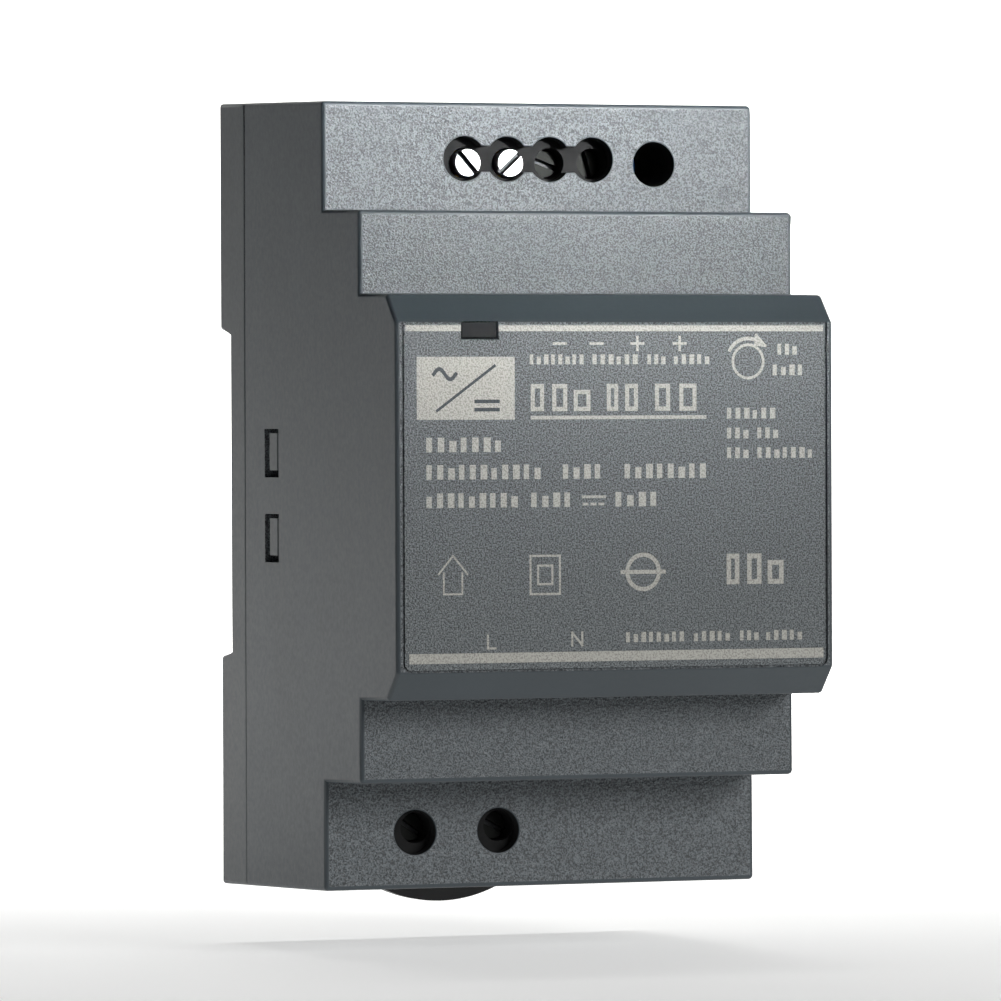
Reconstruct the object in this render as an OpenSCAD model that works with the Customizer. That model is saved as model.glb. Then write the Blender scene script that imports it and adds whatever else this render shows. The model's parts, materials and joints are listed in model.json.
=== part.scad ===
// DIN rail power supply in a stepped three-module case.
// Frame: origin on the rail seat at the rail's centre line, +X along the rail,
// -Y out of the front panel, +Z up. All sizes in millimetres.
// Inside case() a piece is drawn from the case's own datum: y = -depth from the
// rear plane, z = 0 at the middle of the case.

/* [Case] */
// Width along the rail
case_w = 52.5; // [48:0.5:70]
// Height at the rear plane
case_h = 90; // [88:0.5:110]
// Depth from the rear plane to the front panel
case_d = 54.5; // [54:0.5:66]
// Depth of the rear base, up to the seam
base_d = 7.8; // [7.2:0.1:9]
// Depth of the terminal tiers' front faces
terminal_d = 32.6; // [32:0.1:36]
// Depth of the middle tiers' front faces
middle_d = 43.6; // [42:0.1:46]
// Height over the two middle tiers
middle_h = 64; // [60:0.5:66]
// Height of the front tier
front_h = 45; // [42:0.5:48]
// Depth where the front tier's chamfer starts
shoulder_d = 51.6; // [50:0.1:52]
// Height of the flat front panel between its chamfers
panel_h = 38.5; // [36:0.1:40]
// Wall of the front housing
wall = 1.6; // [1.2:0.1:2]
// Moulding draft of the top and bottom faces, in degrees
draft = 1.5; // [0:0.1:2]
// Radius on the outline's outer corners
corner_r = 0.5; // [0.2:0.1:0.8]

/* [Rail] */
// Height of the top-hat rail
rail_h = 35; // [35:0.5:36]
// Thickness of the rail's flange
rail_t = 1; // [1:0.1:1.5]
// Depth from the rear plane to the rail seat
seat_d = 3.1; // [3:0.1:4]
// Height of the case's middle above the rail's middle
case_above_rail = 0.4; // [0:0.1:1]
// Width of the rail clip
clip_w = 18; // [14:0.5:22]
// Thickness of the rail clip
clip_t = 1.6; // [1.4:0.1:1.8]
// Length of the pull tab below the case
tab_l = 2.6; // [2:0.1:5]
// Travel of the rail clip when it is pulled
clip_travel = 4; // [3:0.1:4.5]

/* [Terminals] */
// Spacing of the output terminals
output_pitch = 5.2; // [5.2:0.05:5.6]
// Number of output terminals
output_count = 4; // [2:1:4]
// Spacing of the two input terminals
input_pitch = 10.1; // [8:0.1:12]
// Diameter of the screwdriver holes
access_hole = 5.04; // [4.8:0.02:5.4]
// Height of the necks that join the output holes
neck_h = 2.9; // [2:0.1:3.4]
// Diameter of the terminal screw's thread
screw_d = 2.5; // [2:0.1:2.6]
// Diameter of the terminal screw's head
head_d = 3.1; // [3:0.1:3.3]
// Pitch of the terminal screw's thread
screw_pitch = 0.45; // [0.4:0.05:0.5]
// Turns from open to clamped
screw_turns = 6; // [5:1:6]

/* [Panel] */
// Thickness of the front label
label_t = 0.25; // [0.2:0.05:0.3]
// Width of the indicator window
lamp_w = 4.3; // [3:0.1:6]
// Height of the indicator window
lamp_h = 1.9; // [1.5:0.1:2.2]
// Diameter of the adjust potentiometer's rotor
rotor_d = 4.4; // [3.6:0.1:4.6]

/* [Board] */
// Thickness of the circuit board
board_t = 1.6; // [1:0.1:2]
// Diameter of the bulk capacitor
bulk_d = 16; // [12:0.5:18]
// Length of the bulk capacitor
bulk_l = 30; // [20:0.5:36]
// Width of the transformer's core
core_w = 25; // [20:0.5:26]

/* [Hidden] */
$fn = 64;
// how far a cutting shape passes a face, and how thick one is that goes through a wall
past = 1;
cut = 6 * wall;
// segments of a corner's arc, and of half the pull tab's end
arc_steps = 4;
tab_steps = 12;

// gaps between pieces
slide_gap = 0.15;      // sliding pieces and pieces that drop in
board_gap = 0.5;       // board edge to wall
thread_gap = 0.05;     // screw in its tapped frame
face_gap = 0.1;        // parts that stop just short of each other

// case derived values
slope = tan(draft);
function top_z(dep) = case_h / 2 - dep * slope;
middle_drop = (middle_d - terminal_d) * slope;
front_drop = (shoulder_d - middle_d) * slope;
hole_drop = 0.25;                          // screwdriver holes below the middle of their tier
terminal_z = (top_z(terminal_d) + middle_h / 2) / 2 - hole_drop;
rib_t = 1.4;                               // ribs of the housing that hold the board down
rib_z = 15;
rib_root = 0.1;                            // how far a rib is sunk into the wall

// rail channel in the rear base
rail_top_z = rail_h / 2 - case_above_rail;
rail_bottom_z = -rail_h / 2 - case_above_rail;
channel_top = rail_top_z + 1.2;            // channel's floor beyond the rail's edges
channel_bottom = rail_bottom_z - 0.3;
mouth_top = 0.6;                           // how much wider its mouth is than its floor
mouth_bottom = 0.4;
rib_h = 0.2;                               // height of the seat ribs on the channel's floor
channel_d = seat_d + rib_h;
hook_bite = 1.2;                           // hook behind the rail's upper flange
hook_gap = 0.2;                            // hook's lip off the rail's rear face
hook_d = seat_d - rail_t - hook_gap;       // depth of the hook's lip
hook_w = 8;
hook_x = 17;
hook_root = 1.5;                           // how far a hook is sunk into the base
hook_lead_d = 0.6;                         // lead-in on the hook's tip
hook_lead_z = 1;
seat_h = 15.2;                             // half height of the seat ribs
seat_w = 3;
seat_x = 22;
base_wall = 1.6;
base_floor_d = channel_d + base_wall;
base_inner_x = case_w / 2 - base_wall;     // inside of the base's side walls
tray_margin = 1.9;                         // walls round the deep trays
lip_t = 1;                                 // tongue of the base inside the housing
lip_l = 2;
post_in = 5;                               // board's posts, in from its corners
post_r = 2.4;

// snap tongues on both sides of the base, each in a window of the housing
snap_z = [4.75, -4.9];
snap_h = 5.5;
snap_d0 = 14.1;
snap_d1 = 18.5;
snap_arm_t = 1.1;
snap_rear_gap = 1.3;                       // open gaps between the tongue and its window
snap_top_gap = 0.5;
snap_bottom_gap = 0.8;
snap_flush = 0.1;                          // barb's face, in from the wall's
snap_lead = 0.6;                           // lead-in on the barb
snap_inner_x = case_w / 2 - wall - slide_gap - snap_arm_t;

// board
board_d = 10;                              // depth of the board's rear face
board_front = board_d + board_t;
board_w = case_w - 2 * (wall + board_gap);
board_h = 2 * (top_z(board_front) - wall - board_gap);
notch_t = 2 * snap_arm_t;                  // notches that clear the snap tongues

// clip and its spring
clip_d = 0.35;                             // rear face of the clip, in from the rear plane
clip_front = clip_d + clip_t;
clip_bite = 1.7;                           // nose behind the rail's lower flange
clip_top = rail_bottom_z + clip_bite;
clip_bottom = -case_h / 2 - tab_l;
clip_end_r = 17;                           // radius of the pull tab's end
clip_cut = 0.8;                            // corners cut off the nose
clip_lead = 1.1;                           // lead-in on the nose
tab_slot_w = 7;                            // blind slot for a screwdriver's tip, behind the pull tab
tab_slot_h = 1;
tab_slot_t = 1;
tab_slot_up = 1.5;
wing_w = 1.3;
wing_t = 0.8;
wing_top = -21;
wing_bottom = -39;
lug_w = 3.4;
lug_t = 2;
lug_root = 0.4;                            // how far the lug is sunk into the clip
lug_top = -23.2;
lug_d = 5;
pocket_w = 4.4;
pocket_d = 5.3;
pocket_bottom = -37.5;
pocket_top = lug_top + face_gap;
spring_d = 3;
spring_wire = 0.45;
spring_turns = 8;
spring_axis_d = 3.6;
spring_l = lug_top - lug_t - pocket_bottom - face_gap;
wire_sides = 8;                            // facets round the wire, and rings in one turn
wire_rings = 16;

// terminals: depths from the rear plane, for a pole that is screwed open
block_top = terminal_d - wall - 0.6;       // front face of the blocks, behind the tier's wall
block_in = 4.4;                            // block's reach towards the middle from the screw
block_out = 4.2;                           // block's reach towards the wire side
block_end = 0.3;                           // wall beyond the last pole
frame_w = 4.2;
frame_l = 5;
frame_top = block_top - 4.4;               // front face of the brass frames
frame_nut_t = 2;
frame_floor_t = 1.1;
frame_l_d = 7.4;                           // depth of the brass frame
frame_floor = frame_top - frame_l_d;
frame_side = 0.6;
plate_t = 0.8;
plate_w = 2.7;
plate_l = 4.4;
plate_open = frame_top - 2.3;              // front face of an open pressure plate
nose_r = 0.75;
nose_l = 0.6;
shank_l = 6.15;
head_t = 1.6;
slot_w = 0.55;
slot_t = 0.8;
tail_r = 0.55;                             // solder tails under the frames
tail_end = board_d - 1;
tail_z = frame_l / 4;
screw_travel = screw_turns * screw_pitch;
head_gap = 0.2;                            // head in its well in the block
screw_dx = 0.85;                           // screw off the middle of its hole, along the rail
screw_dz = -0.4;                           // and towards the case's middle
screw_z = terminal_z + screw_dz;
output_x0 = -9.1;
input_x0 = -15.4;
input_count = 2;
function output_x(i) = output_x0 + i * output_pitch;
function input_x(i) = input_x0 + i * input_pitch;
output_last = output_x(output_count - 1);
input_last = input_x(input_count - 1);
output_driven = [0, 0, 1, 1];              // 0 screwed open, 1 screwed down
output_slots = [48, -42, 20, 75];          // angle of each screw's slot
input_driven = [1, 1];
input_slots = [-35, -28];
entry_w = 4.4;                             // wire entries in the top and bottom faces
entry_l = 5;
entry_d = frame_top - 4.7;
bore_w = 3.4;                              // wire entry of the block itself
bore_l = 3.3;

// adjust potentiometer
adjuster_off = 5;                          // its middle beyond the last output's pole
adjuster_x = output_last + output_pitch / 2 + adjuster_off;
adjuster_z = terminal_z - 0.45;
adjuster_w = 6.6;
adjuster_rise = 0.5;
adjuster_h = 6.5;                          // height of the seat of its rotor
rotor_t = 1.6;
rotor_up = 0.4;                            // rotor's face above its case's
rotor_top = board_front + adjuster_h + rotor_t + rotor_up;
rotor_slot_w = 0.6;
rotor_slot_t = 1;
rotor_rim = 0.5;
well_wall = 0.8;
well_end = rotor_top + 1.4;

// front label and indicator
label_margin_x = 0.95;
label_margin_z = 0.3;
label_w = case_w - 2 * label_margin_x;
label_h = panel_h - 2 * label_margin_z;
label_r = 0.8;
label_gap = 0.25;
recess_t = 0.3;
lamp_x = -16.3;
lamp_z = panel_h / 2 - lamp_h / 2 + 0.05;
lamp_inset = 0.25;
flange_t = 1.2;                            // flange of the light guide behind the panel
flange_gap = 0.4;
flange_past = 0.6;
flange_drop = 0.8;
stem_w = 3;
stem_h = 1.4;
stem_drop = 0.6;                           // stem and lamp below the window's middle
lamp_top_d = board_front + 2.2;
die_w = 3;
die_h = 1.6;

// vent slots in the middle tiers, as shares of the step they are cut in
vent_w = 1.4;
vent_pitch = 4.2;
vent_count = 10;
vent_start = 0.14;
vent_share = 0.6;
tier_step = middle_d - terminal_d;

// components on the board: places from the case's middle
lead_r = 0.35;
lead_pitch = 2.54;
lead_in = 0.5;                             // leads into their bodies
part_gap = 1;                              // air between neighbours
can_rise = 0.3;                            // capacitors and the output choke off the board
can_edge = 0.4;
can_groove = 0.5;
can_groove_up = 1.4;
can_rim = 1.4;
can_recess = 0.3;

fuse_r = 4.2;
fuse_h = 7.6;
fuse_rise = 0.6;
fuse_off = 1.95;                           // fuse beyond the input block
fuse_x = input_last + screw_dx + output_pitch / 2 + block_end + fuse_off + fuse_r;
fuse_z = -37.2;
varistor_d = 10;
varistor_t = 4.2;
varistor_x = fuse_x + fuse_r + 1.7 + varistor_d / 2;
varistor_z = -37.6;
thermistor_d = 9;
thermistor_t = 4.4;
thermistor_z = -31.2;
disc_rise = 1.8;

x_cap_w = 15;
x_cap_t = 7.5;
x_cap_h = 14;
x_cap_x = -15;
x_cap_z = -26.5;
x_cap_foot = 1.5;
x_cap_rise = 0.5;

choke_x = 1.6;
choke_z = -25.2;
choke_rise = 8.6;                          // axis above the board
ring_r0 = 3.7;                             // inner and outer radius of the ferrite ring
ring_r1 = 6.3;
ring_t = 5;
turn_t = 0.75;                             // build of one turn of the windings
turn_w = 0.7;
turn_step = 15;
turns_half = 4;                            // turns on each side of a winding's middle
choke_lead_x = 5;
choke_lead_up = 4.6;

// heat sinks against both side walls, each with a package that leans on it
sink_t = 2;
sink_gap = 2.2;
sink_x = case_w / 2 - wall - sink_gap;
sink_hole_r = 1.6;
sink_hole_up = 16.5;
primary_sink_w = 17;
primary_sink_h = 27;
primary_sink_z = -9;
transistor_z = -7;
output_sink_w = 16;
output_sink_h = 24;
output_sink_z = 8.5;
diode_z = 9;
pack_w = 10;
pack_t = 4.4;
pack_h = 9;
pack_rise = 4;
pack_tab_t = 1.2;
pack_tab_h = 6.5;
pack_x = sink_x - sink_t - pack_t / 2 - slide_gap;

bridge_w = 14;
bridge_t = 3.6;
bridge_h = 10.5;
bridge_rise = 3.5;
bridge_pitch = 3.8;
bridge_leads = 4;
bridge_cut = 2.4;
bridge_edge = 0.35;                        // bridge in from the board's edge
bridge_x = board_w / 2 - bridge_edge - bridge_w / 2;
bridge_z = primary_sink_z - primary_sink_w / 2 - part_gap - bridge_t / 2;

bulk_side = 1.6;                           // bulk capacitor off the snap tongues
bulk_up = 3;                               // and above the film capacitor
bulk_x = -snap_inner_x + bulk_side + bulk_d / 2;
bulk_z = x_cap_z + x_cap_t / 2 + bulk_up + bulk_d / 2;

chip_w = 5;
chip_l = 4;
chip_t = 1.45;
chip_rise = 0.15;
chip_pitch = 1.27;
chip_pins = 4;
chip_pin_w = 0.42;
chip_pin_l = 1.1;                          // pins past the body
chip_pin_t = 0.3;
chip_x = adjuster_x + 1.1;
chip_z = 27.6;
opto_w = 4.6;
opto_l = 6.4;
opto_t = 3.5;
opto_rise = 0.5;
opto_pin_w = 0.5;
opto_pin_t = 2;
opto_edge = 0.85;
opto_x = board_w / 2 - opto_edge - opto_w / 2;
opto_z = 20;

// transformer: two E halves round a bobbin that stands on the board
core_x = 5.5;
core_z = 7;
core_l = 12;
core_h = 22;
core_rear = board_front + 4.6;
core_front = core_rear + core_h;
leg_t = 3.6;
yoke_t = 4;
bobbin_r = 6;
bobbin_wall = 1.2;
bobbin_l = 17;
bobbin_w = core_w - 2 * leg_t - 2 * face_gap;
bobbin_rear = core_rear + yoke_t + face_gap;
bobbin_front = core_front - yoke_t - face_gap;
bobbin_flange = 0.8;
pin_rail_w = 1.8;
pin_rail_rise = 1.2;
pin_pitch = 3.4;
pins_half = 2;
pin_in = 0.4;
winding_gap = 0.4;

y_cap_d = 6.6;
y_cap_t = 3;
y_cap_rise = 1.5;
y_cap_drop = 5;                            // disc capacitor below the transformer
y_cap_z = core_z - bobbin_l / 2 - y_cap_drop - y_cap_t / 2;

output_cap_d = 10;
output_cap_l = 20;
output_cap_z = 24.8;
output_cap_x = [-11.5, -0.5];
output_choke_r = 3.2;
output_choke_h = 10;
output_choke_x = 8.6;
output_choke_z = 27;
output_choke_flange = 1;
output_choke_waist = 0.5;

// ---------- helpers ----------

module case() translate([0, seat_d, case_above_rail]) children();

// an outline given as [depth, z] points, pulled out to a width along X
module along_x(points, w) rotate([90, 0, -90]) linear_extrude(w, center = true) polygon(points);

// a solid drawn upwards from z = 0, laid so that it rises from a depth towards the front
module rising(x, dep, z) translate([x, -dep, z]) rotate([90, 0, 0]) children();

// a box between two depths, given by its middle and size
module box(x, z, w, h, dep0, dep1)
    translate([x - w / 2, -dep1, z - h / 2]) cube([w, dep1 - dep0, h]);

// a box given by its sides
module block(x0, x1, z0, z1, dep0, dep1)
    translate([x0, -dep1, z0]) cube([x1 - x0, dep1 - dep0, z1 - z0]);

// a round bar between two depths
module bar(x, z, r, dep0, dep1) rising(x, dep0, z) cylinder(r = r, h = dep1 - dep0);

function unit(v) = v / norm(v);
// an arc that rounds corner b of a-b-c
function rounded(a, b, c, r) =
    let (u = unit(a - b), v = unit(c - b))
    let (half = acos(u * v) / 2, reach = r / tan(half))
    let (middle = b + unit(u + v) * r / sin(half))
    let (s = b + u * reach - middle, e = b + v * reach - middle)
    let (a0 = atan2(s[1], s[0]), turn = atan2(s[0] * e[1] - s[1] * e[0], s * e))
    [for (i = [0:arc_steps]) middle + r * [cos(a0 + turn * i / arc_steps), sin(a0 + turn * i / arc_steps)]];

// upper half of the stepped outline, with its outer corners rounded; inset moves every face inwards
function upper_half(inset, start, r) =
    let (p = [
        [start, top_z(start) - inset],
        [terminal_d - inset, top_z(terminal_d) - inset],
        [terminal_d - inset, middle_h / 2 - inset],
        [middle_d - inset, middle_h / 2 - middle_drop - inset],
        [middle_d - inset, front_h / 2 - inset],
        [shoulder_d - inset / 2, front_h / 2 - front_drop - inset],
        [case_d - inset, panel_h / 2 - inset / 2],
        [case_d - inset, 0]
    ])
    r == 0 ? [for (i = [0:6]) p[i]] : concat(
        [p[0]], rounded(p[0], p[1], p[2], r), [p[2]], rounded(p[2], p[3], p[4], r), [p[4]],
        rounded(p[4], p[5], p[6], r), rounded(p[5], p[6], p[7], r)
    );
function both_halves(p) = concat(p, [for (i = [len(p) - 1:-1:0]) [p[i][0], -p[i][1]]]);

// ---------- enclosure ----------

module snap_places() {
    for (side = [-1, 1], z = snap_z) translate([side * case_w / 2, 0, z]) scale([side, 1, 1]) children();
}

module access_holes() {
    for (i = [0:output_count - 1])
        bar(output_x(i), terminal_z, access_hole / 2, terminal_d - wall - past, terminal_d + past);
    block(output_x(0), output_last, terminal_z - neck_h / 2, terminal_z + neck_h / 2,
        terminal_d - wall - past, terminal_d + past);
    for (i = [0:input_count - 1])
        bar(input_x(i), -terminal_z, access_hole / 2, terminal_d - wall - past, terminal_d + past);
}

module wire_entries() {
    for (i = [0:output_count - 1])
        box(output_x(i) + screw_dx, case_h / 2, entry_w, cut, entry_d - entry_l / 2, entry_d + entry_l / 2);
    for (i = [0:input_count - 1])
        box(input_x(i) + screw_dx, -case_h / 2, entry_w, cut, entry_d - entry_l / 2, entry_d + entry_l / 2);
}

module vents() {
    start = terminal_d + vent_start * tier_step;
    for (side = [-1, 1], i = [0:vent_count - 1])
        box((i - (vent_count - 1) / 2) * vent_pitch, side * middle_h / 2, vent_w, cut,
            start, start + vent_share * tier_step);
}

// square at the top, rounded at the bottom
module label_outline(w, h, r) {
    polygon(concat(
        [[w / 2, h / 2], [-w / 2, h / 2]],
        rounded([-w / 2, h / 2], [-w / 2, -h / 2], [w / 2, -h / 2], r),
        rounded([-w / 2, -h / 2], [w / 2, -h / 2], [w / 2, h / 2], r)
    ));
}

module housing() {
    color("#5a6064") case() difference() {
        union() {
            difference() {
                along_x(both_halves(upper_half(0, base_d, corner_r)), case_w);
                along_x(both_halves(upper_half(wall, base_d - past, 0)), case_w - 2 * wall);
            }
            // screwdriver well down to the adjust potentiometer
            bar(adjuster_x, adjuster_z, access_hole / 2 + well_wall, well_end, terminal_d - wall / 2);
            // ribs that hold the board down on the base
            for (x = [-1, 1], z = [-1, 1])
                box(x * (case_w / 2 - wall - rib_t / 2 + rib_root), z * rib_z, rib_t, rib_t,
                    board_front, middle_d);
        }
        access_holes();
        bar(adjuster_x, adjuster_z, access_hole / 2, well_end - past, terminal_d + past);
        wire_entries();
        vents();
        snap_places() box(0, 0, cut, snap_h, snap_d0, snap_d1);
        // recess of the front label, and the indicator window through it
        rising(0, case_d - recess_t, 0) linear_extrude(recess_t + past)
            label_outline(label_w + 2 * label_gap, label_h + 2 * label_gap, label_r + label_gap);
        box(lamp_x, lamp_z, lamp_w, lamp_h, case_d - wall - past, case_d + past);
    }
}

module base_outline() {
    polygon([
        [0, top_z(0)], [base_d, top_z(base_d)], [base_d, -top_z(base_d)], [0, -top_z(0)],
        [0, channel_bottom - mouth_bottom], [channel_d, channel_bottom], [channel_d, channel_top],
        [0, channel_top + mouth_top]
    ]);
}

module snap_tongue() {
    // an arm along the side wall, with a barb that fills the front of its window
    arm_x = -wall - slide_gap;
    tip = snap_d1 - slide_gap;
    low = -snap_h / 2 + snap_bottom_gap;
    high = snap_h / 2 - snap_top_gap;
    block(arm_x - snap_arm_t, arm_x, low, high, base_floor_d - face_gap, tip);
    translate([0, 0, low]) linear_extrude(high - low) polygon([
        [arm_x - snap_arm_t / 2, -snap_d0 - snap_rear_gap],
        [-snap_flush, -snap_d0 - snap_rear_gap],
        [-snap_flush, -tip + snap_lead],
        [-snap_flush - snap_lead, -tip],
        [arm_x - snap_arm_t / 2, -tip]
    ]);
}

module base_trays() {
    // the middle, as deep as the rail channel's floor
    box(0, 0, 2 * base_inner_x, 2 * (top_z(base_d) - base_wall), base_floor_d, base_d + past);
    // deeper trays above and below the rail channel
    block(-base_inner_x, base_inner_x, channel_top + tray_margin, case_h / 2 - tray_margin,
        base_wall, base_d + past);
    for (side = [-1, 1]) scale([side, 1, 1])
        block(clip_w / 2 + wing_w + slide_gap + base_wall, base_inner_x, -case_h / 2 + tray_margin,
            channel_bottom - tray_margin, base_wall, base_d + past);
}

// tongue that the housing slips over
module base_lip() {
    w = case_w - 2 * (wall + slide_gap);
    h = 2 * (top_z(base_d + lip_l) - wall - slide_gap);
    difference() {
        box(0, 0, w, h, base_floor_d, base_d + lip_l);
        box(0, 0, w - 2 * lip_t, h - 2 * lip_t, base_floor_d - past, base_d + lip_l + past);
    }
}

module rear_base() {
    color("#54595c") case() difference() {
        union() {
            difference() {
                rotate([90, 0, -90]) linear_extrude(case_w, center = true) base_outline();
                base_trays();
            }
            base_lip();
            snap_places() snap_tongue();
            // posts under the board
            for (x = [-1, 1], z = [-1, 1])
                bar(x * (board_w / 2 - post_in), z * (board_h / 2 - post_in), post_r, base_wall / 2, board_d);
            // seat ribs: two uprights and a bar between them, standing on the channel's floor
            for (x = [-seat_x, seat_x])
                box(x, -case_above_rail, seat_w, 2 * seat_h, seat_d, channel_d + past / 2);
            box(0, -case_above_rail, 2 * seat_x, seat_w, seat_d, channel_d + past / 2);
            // fixed hooks behind the rail's upper flange
            for (x = [-hook_x, hook_x]) translate([x, 0, 0])
                along_x([
                    [0, channel_top + hook_root], [hook_d, channel_top + hook_root],
                    [hook_d, rail_top_z - hook_bite], [hook_lead_d, rail_top_z - hook_bite],
                    [0, rail_top_z - hook_bite + hook_lead_z]
                ], hook_w);
            // housing of the spring's pocket
            box(0, (pocket_top + pocket_bottom) / 2, pocket_w + 2 * base_wall,
                pocket_top - pocket_bottom + 2 * base_wall, base_floor_d - past, pocket_d + base_wall);
        }
        // slot of the clip, with lips that hold its wings
        block(-clip_w / 2 - slide_gap, clip_w / 2 + slide_gap, -case_h / 2 - past, channel_bottom + past,
            -past, clip_front + slide_gap);
        block(-clip_w / 2 - wing_w - slide_gap, clip_w / 2 + wing_w + slide_gap,
            wing_bottom - clip_travel - face_gap, wing_top + face_gap,
            clip_front - wing_t - slide_gap, clip_front + slide_gap);
        block(-pocket_w / 2, pocket_w / 2, pocket_bottom, pocket_top, clip_front, pocket_d);
    }
}

module front_label() {
    color("#4d5359") case() difference() {
        rising(0, case_d - recess_t, 0) linear_extrude(label_t) label_outline(label_w, label_h, label_r);
        box(lamp_x, lamp_z, lamp_w + 2 * face_gap, lamp_h + 2 * face_gap, case_d - wall, case_d + past);
    }
}

module light_pipe() {
    flange_front = case_d - wall - flange_gap;
    flange_rear = flange_front - flange_t;
    color("#2e3236") case() {
        box(lamp_x, lamp_z, lamp_w - 2 * face_gap, lamp_h - 2 * face_gap, flange_front, case_d - lamp_inset);
        box(lamp_x, lamp_z - flange_drop, lamp_w + 2 * flange_past, stem_h + flange_drop,
            flange_rear, flange_front);
        box(lamp_x, lamp_z - stem_drop, stem_w, stem_h, lamp_top_d + face_gap, flange_rear);
    }
}

module rail_clip() {
    half = clip_w / 2;
    end_z = clip_bottom + clip_end_r;
    sweep = asin(half / clip_end_r);
    tab = concat(
        [[half, clip_top - clip_cut], [half - clip_cut, clip_top]],
        [[-half + clip_cut, clip_top], [-half, clip_top - clip_cut]],
        [for (i = [-tab_steps:tab_steps]) let (a = sweep * i / tab_steps)
            [clip_end_r * sin(a), end_z - clip_end_r * cos(a)]]
    );
    color("#17181a") case() difference() {
        union() {
            rising(0, clip_d, 0) linear_extrude(clip_t) polygon(tab);
            block(-half - wing_w, half + wing_w, wing_bottom, wing_top, clip_front - wing_t, clip_front);
            box(0, lug_top - lug_t / 2, lug_w, lug_t, clip_front - lug_root, lug_d);
        }
        translate([0, -clip_d, clip_top]) rotate([-45, 0, 0])
            cube([clip_w + past, clip_lead, clip_lead], center = true);
        box(0, clip_bottom + tab_slot_up, tab_slot_w, tab_slot_h, clip_d - past, clip_d + tab_slot_t);
    }
}

module clip_spring() {
    // a round wire swept along a helix, as rings of points
    rings = wire_rings * spring_turns;
    wire_r = spring_wire / 2;
    coil_r = spring_d / 2 - wire_r;
    rise = spring_l - spring_wire;
    function wire_point(i, k) =
        let (turn = 360 * i / wire_rings, around = 360 * k / wire_sides)
        let (r = coil_r + wire_r * cos(around))
        [r * cos(turn), r * sin(turn), wire_r + rise * i / rings + wire_r * sin(around)];
    function ring(i, k) = i * wire_sides + k % wire_sides;
    points = [for (i = [0:rings], k = [0:wire_sides - 1]) wire_point(i, k)];
    skin = [for (i = [0:rings - 1], k = [0:wire_sides - 1])
        [ring(i + 1, k), ring(i + 1, k + 1), ring(i, k + 1), ring(i, k)]];
    start = [for (k = [0:wire_sides - 1]) ring(0, k)];
    end = [for (k = [wire_sides - 1:-1:0]) ring(rings, k)];
    color("silver") case() translate([0, -spring_axis_d, pocket_bottom + face_gap / 2])
        polyhedron(points, concat(skin, [start, end]));
}

// ---------- terminals ----------

// puts a pole's pieces at the screw's axis; the input side is turned over
module at_output(i) translate([output_x(i) + screw_dx, 0, screw_z]) children();
module at_input(i) translate([input_x(i) + screw_dx, 0, -screw_z]) mirror([0, 0, 1]) children();

module pole_cavity() {
    box(0, 0, frame_w + 2 * face_gap, frame_l + 2 * face_gap, board_front - past, frame_top + face_gap);
    bar(0, 0, head_d / 2 + head_gap, frame_top, block_top + past);
    block(-bore_w / 2, bore_w / 2, 0, block_out + past, frame_floor + frame_floor_t,
        frame_floor + frame_floor_t + bore_l);
}

// moulding for a row of poles, from the first one at x = 0 to the last one
module pole_block(last) {
    side = output_pitch / 2 + block_end;
    block(-side, last + side, -block_in, block_out, board_front, block_top);
}

module pole_frame() {
    difference() {
        box(0, 0, frame_w, frame_l, frame_floor, frame_top);
        box(0, 0, frame_w - 2 * frame_side, frame_l + past,
            frame_floor + frame_floor_t, frame_top - frame_nut_t);
        bar(0, 0, screw_d / 2 + thread_gap, frame_top - frame_nut_t - past, frame_top + past);
    }
    bar(0, -tail_z, tail_r, tail_end, frame_floor);
}

module pole_plate(driven) translate([0, driven * screw_travel, 0]) difference() {
    box(0, 0, plate_w, plate_l, plate_open - plate_t, plate_open);
    bar(0, 0, nose_r + face_gap, plate_open - plate_t - past, plate_open + past);
}

module pole_screw(driven, slot_angle) translate([0, driven * screw_travel, 0]) {
    seat = plate_open + thread_gap;
    head = seat + shank_l;
    difference() {
        union() {
            bar(0, 0, nose_r, seat - nose_l, seat);
            bar(0, 0, screw_d / 2, seat, head);
            bar(0, 0, head_d / 2, head, head + head_t);
        }
        translate([0, -head - head_t, 0]) rotate([0, slot_angle, 0])
            cube([head_d + past, 2 * slot_t, slot_w], center = true);
    }
}

module output_terminal_block() {
    color("#1e2022") case() difference() {
        at_output(0) pole_block(output_last - output_x(0));
        for (i = [0:output_count - 1]) at_output(i) pole_cavity();
    }
}

module input_terminal_block() {
    color("#1e2022") case() difference() {
        at_input(0) pole_block(input_last - input_x(0));
        for (i = [0:input_count - 1]) at_input(i) pole_cavity();
    }
}

module output_frames() color("#b9a15a") case() for (i = [0:output_count - 1]) at_output(i) pole_frame();
module input_frames() color("#b9a15a") case() for (i = [0:input_count - 1]) at_input(i) pole_frame();
module output_plate(i) color("silver") case() at_output(i) pole_plate(output_driven[i]);
module input_plate(i) color("silver") case() at_input(i) pole_plate(input_driven[i]);
module output_screw(i) color("gainsboro") case() at_output(i) pole_screw(output_driven[i], output_slots[i]);
module input_screw(i) color("gainsboro") case() at_input(i) pole_screw(input_driven[i], input_slots[i]);

// ---------- board and what stands on it ----------

module main_board() {
    tail_hole = tail_r + slide_gap;
    color("#2f5d3a") case() difference() {
        box(0, 0, board_w, board_h, board_d, board_front);
        // room for the snap tongues
        snap_places() block(-wall - board_gap - notch_t, past, -snap_h / 2, snap_h / 2,
            board_d - past, board_front + past);
        // holes for the terminal tails
        for (i = [0:output_count - 1])
            at_output(i) bar(0, -tail_z, tail_hole, board_d - past, board_front + past);
        for (i = [0:input_count - 1])
            at_input(i) bar(0, -tail_z, tail_hole, board_d - past, board_front + past);
    }
}

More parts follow.
